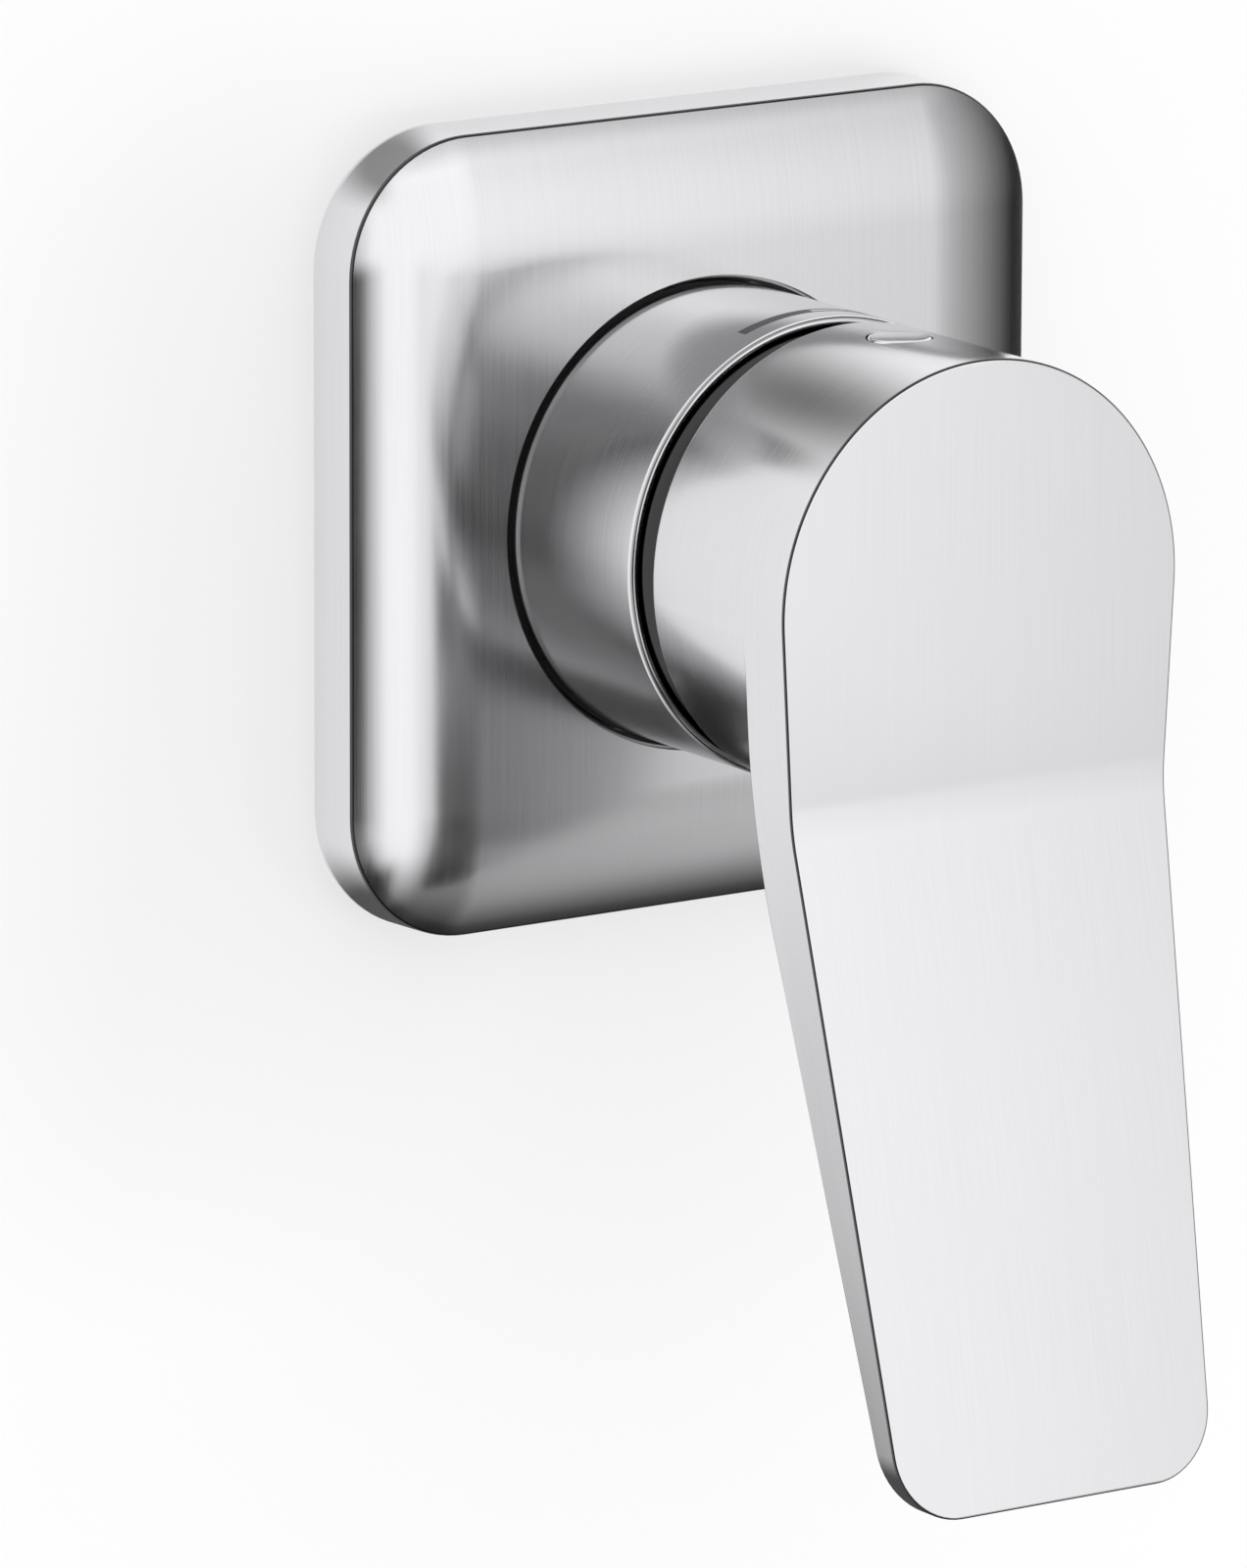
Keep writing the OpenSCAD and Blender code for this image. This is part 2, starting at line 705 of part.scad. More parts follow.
// Rotor that carries the spindle and turns the discs
module rotor() {
    pocket_half = drive_side / 2 + seat_gap;
    pocket_low = drive_side / 2 + disc_travel + pass_gap;
    pocket_top = drive_top + pass_gap;
    color(grey_plastic) on_wall() difference() {
        union() {
            bar(rotor_disc_r, rotor_z, rotor_shoulder);
            bar(rotor_neck_r, rotor_shoulder - over, rotor_top);
        }
        translate([-slot_half, -slot_low, rotor_z - over])
            cube([2 * slot_half, slot_low + slot_high, rotor_top - rotor_z + 2 * over]);
        translate([-pocket_half, -pocket_low, rotor_z - over])
            cube([2 * pocket_half, pocket_low + pocket_half + pass_gap, pocket_top - rotor_z + over]);
        translate([0, 0, pivot_z]) rotate([0, 90, 0]) bar(pin_r, -rotor_neck_r - over, rotor_neck_r + over);
    }
}

// Slippery ring between the rotor and the housing
module friction_ring() {
    color(slip_plastic) on_wall()
        ring(rotor_disc_r - pass_gap, rotor_neck_r + seat_gap, friction_z, friction_z + friction_t);
}

// Pin that the spindle tilts on
module pivot_pin() {
    end_gap = 0.6;
    half = rotor_neck_r - end_gap;
    color(steel) on_wall() translate([0, 0, pivot_z]) rotate([0, 90, 0])
        bar(pin_r, -half, half);
}

// Ring that limits the temperature turn
module limit_ring() {
    color(limit_plastic) on_wall() difference() {
        union() {
            bar(limit_ring_r, limit_ring_z, nut_top);
            intersection() {
                bar(limit_tab_r, limit_ring_z, nut_top);
                wedge(limit_tab_r + over, 90 - limit_tab_angle, 90 + limit_tab_angle, limit_ring_z, nut_top);
            }
        }
        bar(rotor_neck_r + seat_gap, limit_ring_z - over, nut_top + over);
    }
}

// Nut that holds the cartridge, with the stops of the limit ring
module retaining_nut() {
    slot_w = 3;
    slot_d = 2;
    stop_drop = 0.4;
    stop_top = nut_top - stop_drop;
    color(brass) on_wall() difference() {
        union() {
            bar(nut_thread_r - run_gap, housing_out, nut_head_z + over);
            bar(nut_head_r, nut_head_z, nut_top);
        }
        bar(nut_hole_r, housing_out - over, nut_top + over);
        bar(stop_in, nut_floor, nut_top + over);
        bar(nut_recess_r, stop_top, nut_top + over);
        intersection() {
            bar(nut_recess_r, nut_floor, nut_top + over);
            wedge(nut_recess_r + over, 90 - window_angle, 90 + window_angle, nut_floor, nut_top + over);
        }
        for (a = [45:90:315]) rotate(a) translate([nut_recess_r - over, -slot_w / 2, nut_top - slot_d])
            cube([nut_head_r - nut_recess_r + 2 * over, slot_w, slot_d + over]);
    }
}

// Dome between sleeve and lever, a ball zone about the tilting axis
module cover_dome() {
    dome_step = 0.5;
    color(satin) on_wall() difference() {
        intersection() {
            bar(dome_skirt_r, nut_head_z + seat_gap, dome_rim_z);
            union() {
                translate([0, 0, pivot_z]) sphere(dome_r, $fn = 180);
                bar(dome_skirt_r, nut_head_z, sleeve_out - dome_step);
            }
        }
        intersection() {
            translate([0, 0, pivot_z]) sphere(dome_in_r, $fn = 180);
            bar(dome_in_r, dome_bore_z, dome_rim_z + over);
        }
        bar(dome_bore_r, nut_head_z - over, dome_bore_z + seat_gap);
    }
}

// Two O-rings between the body's neck and the sleeve
module sleeve_seals() {
    color(rubber) on_wall() for (z = oring_places) round_ring(oring_floor + oring_r, oring_r, z);
}

// Band of a mark round the sleeve, drawn in from its edges
module mark_band(from, to, inset, depth_r) {
    inset_angle = inset / sleeve_r * 180 / PI;
    intersection() {
        ring(sleeve_r, depth_r, mark_z - mark_w / 2 + inset, mark_z + mark_w / 2 - inset);
        wedge(sleeve_r + over, from + inset_angle, to - inset_angle, mark_z - mark_w, mark_z + mark_w);
    }
}

module hot_band() {
    mark_band(90, 90 + mark_angle, 0, mark_r);
}

module cold_band() {
    difference() {
        mark_band(90 - mark_angle, 90, 0, mark_r);
        mark_band(90 - mark_angle, 90, mark_line, mark_r - over);
    }
}

// Filled mark on the hot side
module hot_mark() {
    color("dimgray") on_wall() hot_band();
}

// Outlined mark on the cold side
module cold_mark() {
    color("gray") on_wall() cold_band();
}

// Sleeve with its rounded lip
module sleeve() {
    color(satin) on_wall() difference() {
        rotate_extrude($fn = 180) intersection() {
            translate([sleeve_in, shoulder_z + seat_gap])
                square([sleeve_wall, sleeve_out - shoulder_z - seat_gap]);
            union() {
                translate([sleeve_in, shoulder_z]) square([sleeve_wall, sleeve_out - lip_r - shoulder_z]);
                translate([sleeve_in - over, shoulder_z])
                    square([sleeve_wall + over - lip_r, sleeve_out - shoulder_z + over]);
                translate([sleeve_r - lip_r, sleeve_out - lip_r]) circle(lip_r);
            }
        }
        hot_band();
        cold_band();
    }
}

// Hollow square plate with its round hole
module wall_plate() {
    color(satin) on_wall() difference() {
        pillow(0, 0);
        pillow(plate_wall, -over);
        bar(plate_hole_r, -over, plate_top + over);
    }
}

// Carrier that fills the plate and holds its seal
module plate_carrier() {
    color(grey_plastic) on_wall() difference() {
        union() {
            translate([0, 0, gasket_t]) linear_extrude(carrier_t)
                round_square(carrier_side, carrier_corner_r);
            bar(collar_out, gasket_t, carrier_top);
        }
        bar(guide_r, gasket_t - over, carrier_top + over);
        bar(collar_in, seal_floor, carrier_top + over);
    }
}

// Lip seal between plate and sleeve
module plate_seal() {
    color(rubber) on_wall() ring(plate_seal_out, plate_seal_r, seal_floor + seat_gap, carrier_top);
}

// Foam frame between the carrier and the wall
module plate_gasket() {
    color(rubber) on_wall() linear_extrude(gasket_t) difference() {
        round_square(carrier_side, carrier_corner_r);
        round_square(carrier_side - 2 * gasket_w, carrier_corner_r - gasket_w / 2);
    }
}

// Spindle with its square front end and its ball
module spindle() {
    block_back = 3.2;
    rod_r = 2.1;
    color(brass) on_wall() difference() {
        union() {
            translate([-spindle_w / 2, -spindle_w / 2, pivot_z - block_back])
                cube([spindle_w, spindle_w, spindle_end - pivot_z + block_back]);
            bar(rod_r, ball_z, pivot_z - block_back + over);
            translate([0, 0, ball_z]) sphere(ball_r);
        }
        translate([0, 0, pivot_z]) rotate([0, 90, 0]) bar(pin_r + run_gap, -spindle_w, spindle_w);
    }
}

// Insert that couples the lever to the spindle
module lever_insert() {
    square_w = spindle_w + 2 * seat_gap;
    color(brass) on_wall() difference() {
        bar(insert_r, insert_start, cap_ceiling);
        translate([-square_w / 2, -square_w / 2, insert_start - over])
            cube([square_w, square_w, spindle_end + pass_gap - insert_start + over]);
        translate([0, 0, index_z]) rotate([-90, 0, 0]) bar(set_screw_r + run_gap, 0, insert_r + over);
    }
}

// Set screw that clamps the insert on the spindle
module set_screw() {
    tip_gap = 0.02;
    tip = spindle_w / 2 + tip_gap;
    head_gap = 0.2;
    head = insert_r - head_gap;
    hex_d = 1.6;
    color(steel) on_wall() translate([0, 0, index_z]) rotate([-90, 0, 0]) difference() {
        bar(set_screw_r, tip, head);
        translate([0, 0, head - hex_d]) cylinder(r = set_screw_hex / 2 / cos(30), h = hex_d + over, $fn = 6);
    }
}

// Disc that closes the set screw's hole
module index_plug() {
    color(satin) on_wall() translate([0, 0, index_z]) rotate([-90, 0, 0])
        bar(index_r - run_gap, skirt_in + seat_gap, sleeve_r);
}

// Lever: round cap and blade in one piece, hollow behind
module lever() {
    color(satin) on_wall() difference() {
        union() {
            difference() {
                bar(sleeve_r, cap_rear, cap_front);
                bar(skirt_in, cap_rear - over, cap_ceiling);
            }
            difference() {
                intersection() {
                    linear_extrude(2 * cap_front) lever_outline();
                    translate([-sleeve_r - over, 0, 0]) rotate([90, 0, 90])
                        linear_extrude(2 * (sleeve_r + over)) lever_profile();
                }
                bar(skirt_in, cap_rear - over, cap_ceiling);
            }
            bar(insert_r + insert_boss_wall, cap_ceiling - insert_boss_d, cap_ceiling + over);
        }
        bar(insert_r + run_gap, cap_ceiling - insert_boss_d - over, cap_ceiling);
        translate([0, 0, index_z]) rotate([-90, 0, 0]) bar(index_r, skirt_in - over, sleeve_r + over);
    }
}

mixer_body();
mounting_bracket();
bracket_screws();
hot_strainer();
cold_strainer();
hot_check_valve();
cold_check_valve();
hot_valve_seal();
cold_valve_seal();
blanking_plug();
blanking_seal();
base_seals();
cartridge_base();
fixed_disc();
cartridge_housing();
retaining_nut();
cover_dome();
sleeve_seals();
sleeve();
hot_mark();
cold_mark();
wall_plate();
plate_carrier();
plate_seal();
plate_gasket();
rotor();
friction_ring();
pivot_pin();
limit_ring();
moving_disc();
disc_carrier();
spindle();
lever_insert();
set_screw();
index_plug();
lever();
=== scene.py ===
import json
import math

import bmesh
import bpy
from mathutils import Matrix, Vector


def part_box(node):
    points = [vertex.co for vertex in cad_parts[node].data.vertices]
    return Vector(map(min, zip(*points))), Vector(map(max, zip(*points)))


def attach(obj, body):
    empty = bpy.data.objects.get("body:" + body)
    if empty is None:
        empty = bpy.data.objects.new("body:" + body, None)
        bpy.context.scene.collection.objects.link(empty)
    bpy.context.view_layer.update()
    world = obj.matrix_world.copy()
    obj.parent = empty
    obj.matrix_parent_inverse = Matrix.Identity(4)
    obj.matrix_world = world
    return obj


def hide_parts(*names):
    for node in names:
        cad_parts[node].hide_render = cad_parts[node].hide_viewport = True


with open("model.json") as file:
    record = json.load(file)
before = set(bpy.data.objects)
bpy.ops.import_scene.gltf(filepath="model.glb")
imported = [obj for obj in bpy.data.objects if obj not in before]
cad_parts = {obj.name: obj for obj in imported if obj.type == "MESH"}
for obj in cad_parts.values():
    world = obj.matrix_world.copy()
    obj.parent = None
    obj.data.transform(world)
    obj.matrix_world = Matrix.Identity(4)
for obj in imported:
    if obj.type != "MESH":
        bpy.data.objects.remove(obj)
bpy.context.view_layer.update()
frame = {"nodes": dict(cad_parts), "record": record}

bl_info = {
    "name": "Concealed mixer finish",
    "version": (1, 0, 0),
    "blender": (4, 5, 0),
    "location": "3D View > Sidebar > Mixer",
    "description": "Gives a packed concealed mixer its rounded trim, its threads, its finishes and its stage",
    "category": "Object",
}

MM = 0.001
# Steps round a full turn for large and for small pieces, and along a rounded corner
TURN_STEPS = 180
SMALL_STEPS = 96
ROUND_STEPS = 4
# Edges sharper than the first stay sharp, and faces that turn less than the second become one face
SHARP_ANGLE = math.radians(35)
FLAT_ANGLE = math.radians(1)
SAME_PLACE = 1e-6
BRUSHING = "Brushing"
CHROME = (0.82, 0.82, 0.83)
OUT = Vector((0, -1, 0))
UP = Vector((0, 0, 1))
RIGHT = Vector((1, 0, 0))
SLOT_OF = {part["node"]: part["material_slot"] for part in frame["record"]["subparts"]}
BODY_OF = {node: body for body, nodes in frame["record"]["behaviour"]["bodies"].items() for node in nodes}


def side_of(node, axis, end):
    """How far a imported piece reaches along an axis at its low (0) or high (1) end, in millimetres."""
    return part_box(node)[end][axis] / MM


SLEEVE_R = side_of("sleeve", 0, 1)
LIP_OUT = -side_of("sleeve", 1, 0)
SLEEVE_BACK = -side_of("sleeve", 1, 1)
PLATE_TOP = -side_of("wall_plate", 1, 0)
PLATE_HALF = side_of("wall_plate", 0, 1)
CAP_REAR = -side_of("lever", 1, 1)
LEVER_DROP = -side_of("lever", 2, 0)
PORT_REACH = side_of("mixer_body", 0, 1)


def length(name, description, default):
    """A size in millimetres as a property that shows as a length."""
    return bpy.props.FloatProperty(
        name=name, description=description, default=default * MM, min=0, precision=5, unit="LENGTH")


def angle(name, description, default):
    """An angle in degrees as a property that shows as an angle."""
    return bpy.props.FloatProperty(
        name=name, description=description, default=math.radians(default), subtype="ANGLE")


def share(name, description, default):
    """A number from 0 to 1."""
    return bpy.props.FloatProperty(
        name=name, description=description, default=default, min=0, max=1, subtype="FACTOR")


def colour(name, description, default):
    """A plain colour."""
    return bpy.props.FloatVectorProperty(
        name=name, description=description, default=default, min=0, max=1, size=3, subtype="COLOR")


class PlateSizes(bpy.types.PropertyGroup):
    """Sizes of the wall plate and of the sleeve in it."""
    corner_r: length("Corner radius", "Radius of the plate's corners and width of its shoulders", 13)
    draft: length("Draft", "How much further out each side lies at the wall than at the front edge", 0.18)
    crown: length("Crown", "Rise of the curved front above the rim's edge", 3)
    wall: length("Wall", "Thickness of the hollow plate", 1.5)
    hole_gap: length("Hole gap", "Radial gap between the hole and the sleeve", 0.45)
    edge_r: length("Edge rounding", "Rounding between the rim and the shoulder", 0.4)
    hole_chamfer: length("Hole chamfer", "Chamfer round the hole", 0.3)
    sleeve_wall: length("Sleeve wall", "Wall of the sleeve", 0.8)
    lip_r: length("Lip rounding", "Rounding of the sleeve's lip", 0.6)
    mark_w: length("Mark width", "Width of the hot and cold marks", 1.3)
    mark_back: length("Mark distance", "Distance from the lip back to the middle of the marks", 3.4)
    mark_line: length("Mark line", "Line width of the cold mark", 0.25)
    mark_rise: length("Mark rise", "How far the enamel stands proud of the sleeve", 0.015)
    mark_angle: angle("Mark angle", "Angle that each mark covers", 20)


class LeverSizes(bpy.types.PropertyGroup):
    """Sizes of the lever, of its index plug and of the dome behind it."""
    cap_d: length("Cap depth", "Depth of the round cap", 21.8)
    skirt_wall: length("Skirt wall", "Wall of the cap's skirt", 1.7)
    front_wall: length("Front wall", "Thickness of the cap's front wall", 4.7)
    blade_t: length("Blade thickness", "Thickness of the blade where it leaves the cap", 6.8)
    taper: angle("Taper", "Taper of each side of the blade", 3.18)
    corner_r: length("Corner radius", "Radius of the blade's lower corners", 7)
    front_bend: length("Front bend", "Distance from the axis down to the front face's bend", 20.2)
    front_bend_r: length("Front bend radius", "Radius of the front face's bend", 20)
    front_lean: angle("Front lean", "Lean of the front face below its bend", 12.46)
    back_bend: length("Back bend", "Distance from the axis down to the back face's bend", 21.1)
    back_bend_r: length("Back bend radius", "Radius of the back face's bend", 70)
    back_lean: angle("Back lean", "Lean of the back face below its bend", 16.14)
    boss_r: length("Boss radius", "Radius of the boss round the insert", 10.9)
    boss_d: length("Boss depth", "How far the boss stands into the cap", 4)
    bore_r: length("Bore radius", "Radius of the bore for the insert", 7.85)
    edge_r: length("Edge rounding", "Rounding of the lever's edges", 0.28)
    plug_r: length("Plug hole", "Radius of the hole for the index plug", 3.2)
    plug_back: length("Plug distance", "Distance from the cap's rear edge to the middle of the plug", 8.1)
    plug_edge: length("Plug edge", "Rounding of the index plug's edge", 0.3)
    dome_pivot: length("Dome centre", "Distance from the lip back to the dome's centre", 9.3)
    dome_wall: length("Dome wall", "Wall of the dome", 1)
    dome_bore: length("Dome bore", "Radius of the bore in the dome's skirt", 20.7)


class BodySizes(bpy.types.PropertyGroup):
    """Sizes of what shows on the concealed body."""
    hex_l: length("Hexagon length", "Length of the hexagons on the inlets and outlets", 9)
    hex_face_r: length("Hexagon face", "Radius of the hexagons' end faces inside their chamfer", 13.2)
    chamfer: angle("Hexagon chamfer", "Angle of the chamfer on the hexagons' corners", 30)
    thread_l: length("Thread length", "Length of the pipe threads", 14)
    root_r: length("Thread root", "Radius at the root of the pipe threads", 10.48)
    crest_r: length("Thread crest", "Radius at the crest of the pipe threads", 9.3)
    pitch: length("Thread pitch", "Pitch of the pipe threads", 1.814)
    lead_in: length("Thread lead-in", "Chamfer at the mouth of the pipe threads", 0.9)
    sieve_r: length("Sieve hole", "Radius of the strainers' holes", 0.8)
    sieve_pitch: length("Sieve pitch", "Distance between the rings of holes", 2.6)


class Finishes(bpy.types.PropertyGroup):
    """Plain colours of the pieces behind the trim."""
    brass: colour("Brass", "Colour of the brass body, nut, plug, spindle and insert", (0.78, 0.62, 0.34))
    zinc: colour("Zinc", "Colour of the bracket and its screws", (0.62, 0.64, 0.66))
    steel: colour("Stainless steel", "Colour of the strainers, pin and set screw", (0.6, 0.6, 0.6))
    white_plastic: colour("White plastic", "Colour of the housing and check valves", (0.86, 0.86, 0.83))
    grey_plastic: colour("Grey plastic", "Colour of the base, rotor and plate carrier", (0.36, 0.38, 0.4))
    slip_plastic: colour("Slip plastic", "Colour of the friction ring", (0.5, 0.44, 0.34))
    limit_plastic: colour("Limit plastic", "Colour of the temperature stop", (0.66, 0.16, 0.1))
    ceramic: colour("Ceramic", "Colour of the two discs", (0.93, 0.92, 0.88))
    rubber: colour("Rubber", "Colour of the seals", (0.06, 0.06, 0.06))
    foam: colour("Foam", "Colour of the gasket", (0.16, 0.16, 0.16))


class StageLook(bpy.types.PropertyGroup):
    """Backdrop and light."""
    white: share("White", "How white the world beyond the light dome is", 0.956)
    paint: share("Paint", "Share of light that the wall and floor give back", 0.5)
    glow: share("Glow", "What the wall and floor add of their own, so that they show white", 0.475)
    light: bpy.props.FloatProperty(name="Light", description="Level of the studio light", default=1, min=0)
    half_size: length("Backdrop size", "Half the width of the wall and floor", 700)
    floor_depth: length("Floor depth", "How far the floor reaches out from the wall", 450)
    floor_drop: length("Floor drop", "Distance from the axis down to the floor", 1100)
    dome_r: length("Light dome", "Radius of the dome that carries the soft boxes", 600)
    key_distance: length("Key distance", "Distance of the lamp that casts the soft shadow", 3000)
    key_size: length("Key size", "Side of that square lamp", 1100)
    key_power: bpy.props.FloatProperty(
        name="Key power", description="Power of that lamp", default=19, min=0, unit="POWER")


def at(x, v, out):
    """The place of a point x to the right, v up and out from the wall, given in millimetres."""
    return Vector((x, -out, v)) * MM


def mm(value):
    """A property's length in millimetres."""
    return value / MM


def lying(direction, out=0):
    """Turns a piece drawn along +Z so that it lies along direction, and moves it out from the wall."""
    turn = Vector(direction).to_track_quat("Z", "Y").to_matrix().to_4x4()
    return Matrix.Translation(at(0, 0, out)) @ turn


def rounded(points, radii):
    """A chain of flat points whose corners are rounded by the radii, 0 for a sharp one."""
    made = []
    for k, (corner, radius) in enumerate(zip(points, radii)):
        here = Vector(corner)
        if radius == 0:
            made.append(here)
            continue
        before = (Vector(points[k - 1]) - here).normalized()
        after = (Vector(points[(k + 1) % len(points)]) - here).normalized()
        half = before.angle(after) / 2
        middle = here + (before + after).normalized() * radius / math.sin(half)
        start = here + before * radius / math.tan(half) - middle
        end = here + after * radius / math.tan(half) - middle
        sweep = start.angle_signed(end)
        for n in range(ROUND_STEPS + 1):
            turn = -sweep * n / ROUND_STEPS
            made.append(middle + Matrix.Rotation(turn, 2) @ start)
    return made


def placed(name, data):
    """A new object in the scene."""
    made = bpy.data.objects.new(name, data)
    bpy.context.scene.collection.objects.link(made)
    return made


def opened(*meshes):
    """A bmesh of one or more meshes."""
    bm = bmesh.new()
    for mesh in meshes:
        bm.from_mesh(mesh)
    return bm


def closed(bm, mesh):
    """Writes a bmesh into a mesh and frees it."""
    bm.to_mesh(mesh)
    bm.free()
    return mesh


def applied(piece):
    """A new mesh of a piece as its modifiers leave it."""
    graph = bpy.context.evaluated_depsgraph_get()
    return bpy.data.meshes.new_from_object(piece.evaluated_get(graph), depsgraph=graph)


def settle(name, bm):
    """Turns a bmesh into a smooth object with its doubles merged, its faces outwards and its edges sharp."""
    bmesh.ops.remove_doubles(bm, verts=bm.verts, dist=SAME_PLACE)
    bmesh.ops.dissolve_degenerate(bm, edges=bm.edges, dist=SAME_PLACE)
    bmesh.ops.recalc_face_normals(bm, faces=bm.faces)
    return show(name, closed(bm, bpy.data.meshes.new(name)))


def show(name, mesh):
    """Puts a mesh in the scene, smooth but for its sharp edges."""
    mesh.name = name
    piece = placed(name, mesh)
    smooth(piece)
    return piece


def smooth(piece):
    """Smooths a piece but for its sharp edges."""
    piece.data.shade_smooth()
    piece.data.set_sharp_from_angle(angle=SHARP_ANGLE)
    piece.modifiers.new("Face weight", "WEIGHTED_NORMAL").keep_sharp = True


def strip(bm, one, other, closed_ring=True):
    """Faces between two rows of vertices."""
    for k in range(0 if closed_ring else 1, len(one)):
        bm.faces.new((one[k - 1], one[k], other[k], other[k - 1]))


def skin(bm, rows, hollow=True):
    """Vertices and faces through rows of points, back to the first row if the form is hollow."""
    rings = [[bm.verts.new(point) for point in row] for row in rows]
    for one, other in zip(rings, rings[1:]):
        strip(bm, one, other)
    if hollow:
        strip(bm, rings[-1], rings[0])


def turned(name, section, place=None, steps=TURN_STEPS):
    """A solid of revolution from its half section, points of radius and height in millimetres."""
    place = place or lying(OUT)
    turns = [2 * math.pi * k / steps for k in range(steps)]
    rows = []
    for radius, height in section:
        spots = [Vector((radius * math.cos(turn), radius * math.sin(turn), height)) for turn in turns]
        rows.append([place @ (spot * MM) for spot in spots])
    bm = bmesh.new()
    skin(bm, rows, hollow=section[0][0] != 0 or section[-1][0] != 0)
    return settle(name, bm)


def finished(piece, body, slot, paint, *nodes):
    """Gives a piece its material, hangs it on its body and hides the nodes that it stands for; slot is not
    used.
    """
    piece.data.materials.clear()
    piece.data.materials.append(paint)
    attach(piece, body)
    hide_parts(*nodes)
    return piece


def brush(piece, rule):
    """Stores where each face's brush marks lie: two distances across the marks and one along them."""
    mesh = piece.data
    marks = mesh.attributes.new(BRUSHING, "FLOAT_VECTOR", "CORNER")
    for face in mesh.polygons:
        for corner in face.loop_indices:
            place = mesh.vertices[mesh.loops[corner].vertex_index].co
            marks.data[corner].vector = rule(place, face.normal)
    return piece


def brushed_round(place, normal):
    """Marks that run round the outward axis."""
    radius = math.hypot(place.x, place.z)
    return radius, place.y, radius * math.atan2(place.x, place.z)


def bent(v, flat, bend, radius, lean):
    """How far out a face lies at height v, flat above and leaning out below a soft bend."""
    start = bend - radius * math.tan(lean / 2)
    below = -v - start
    if below <= 0:
        return flat
    if below < radius * math.sin(lean):
        return flat + radius - math.sqrt(radius ** 2 - below ** 2)
    return flat + (-v - bend) * math.tan(lean)


class Wiring:
    """Adds nodes to a node tree and joins them."""

    def __init__(self, tree):
        self.tree = tree

    def feed(self, socket, value):
        """Joins a socket to another one, or sets it."""
        if isinstance(value, bpy.types.NodeSocket):
            self.tree.links.new(value, socket)
        else:
            socket.default_value = value

    def add(self, kind, inputs=None, **settings):
        """A new node, its settings and its inputs by name or number."""
        node = self.tree.nodes.new(kind)
        for name, value in settings.items():
            setattr(node, name, value)
        for name, value in (inputs or {}).items():
            self.feed(node.inputs[name], value)
        return node

    def first(self, kind, inputs=None, **settings):
        """The first output of a new node."""
        return self.add(kind, inputs, **settings).outputs[0]

    def math(self, operation, *values):
        """The result of a math node."""
        return self.first("ShaderNodeMath", dict(enumerate(values)), operation=operation)

    def times(self, one, other):
        """Two numbers multiplied."""
        return self.math("MULTIPLY", one, other)

    def plus(self, one, other):
        """Two numbers added."""
        return self.math("ADD", one, other)

    def less(self, one, other):
        """One number less another."""
        return self.math("SUBTRACT", one, other)

    def size(self, value):
        """A number without its sign."""
        return self.math("ABSOLUTE", value)

    def vector(self, operation, *values):
        """The vector that a vector math node gives."""
        return self.first("ShaderNodeVectorMath", dict(enumerate(values)), operation=operation)

    def reach(self, operation, *values):
        """The number that a vector math node gives."""
        return self.add("ShaderNodeVectorMath", dict(enumerate(values)), operation=operation).outputs["Value"]

    def place(self):
        """The place in the object's own coordinates."""
        return self.add("ShaderNodeTexCoord").outputs["Object"]

    def parts(self, vector):
        """The three parts of a vector."""
        return self.add("ShaderNodeSeparateXYZ", {0: vector}).outputs

    def ramp(self, value, low, high, to_low=0.0, to_high=1.0):
        """A value carried smoothly from one range to another."""
        inputs = {"Value": value, "From Min": low, "From Max": high, "To Min": to_low, "To Max": to_high}
        return self.first("ShaderNodeMapRange", inputs, interpolation_type="SMOOTHSTEP")

    def noise(self, place, scale, detail=2.0, rough=0.5):
        """A noise value at a place."""
        inputs = {"Vector": place, "Scale": scale, "Detail": detail, "Roughness": rough}
        return self.first("ShaderNodeTexNoise", inputs)

    def mix(self, factor, one, other):
        """A number between two."""
        return self.first("ShaderNodeMix", {0: factor, 2: one, 3: other})

    def blend(self, factor, one, other):
        """A colour between two."""
        return self.add("ShaderNodeMix", {0: factor, 6: one, 7: other}, data_type="RGBA").outputs[2]

    def effect(self, build, **values):
        """The outputs of a shared effect with its own values."""
        node = self.add("ShaderNodeGroup", node_tree=group(build))
        for label, value in values.items():
            self.feed(node.inputs[label.replace("_", " ")], value)
        return node.outputs

    def four_cornered(self, corners):
        """A closed curve through four flat points."""
        curve = self.add("GeometryNodeCurvePrimitiveQuadrilateral", mode="POINTS")
        for number, (x, y) in enumerate(corners, 1):
            self.feed(curve.inputs[f"Point {number}"], self.first("ShaderNodeCombineXYZ", {0: x, 1: y}))
        return curve.outputs[0]


class Paint(Wiring):
    """The wiring of a new material round its principled shader."""

    def __init__(self, name, metallic, roughness):
        self.look = bpy.data.materials.new(name)
        self.look.use_nodes = True
        super().__init__(self.look.node_tree)
        self.shader = self.tree.nodes["Principled BSDF"]
        self.shader.inputs["Metallic"].default_value = metallic
        self.shader.inputs["Roughness"].default_value = roughness

    def rough(self, value):
        """Joins a value to the roughness."""
        self.feed(self.shader.inputs["Roughness"], value)

    def shade(self, value, paint, low, high):
        """Varies the base colour between two shares of a paint."""
        dark, light = [(*[min(1, part * level) for part in paint], 1) for level in (low, high)]
        self.feed(self.shader.inputs["Base Color"], self.blend(value, dark, light))

    def bump(self, height, distance):
        """Joins a height to the normal."""
        node = self.add("ShaderNodeBump", {"Height": height, "Distance": distance, "Strength": 1.0})
        self.feed(self.shader.inputs["Normal"], node.outputs["Normal"])


# The kind of a group's input, by the kind of its first value
SOCKETS = {float: "Float", int: "Int", Vector: "Vector", type(None): "Material"}


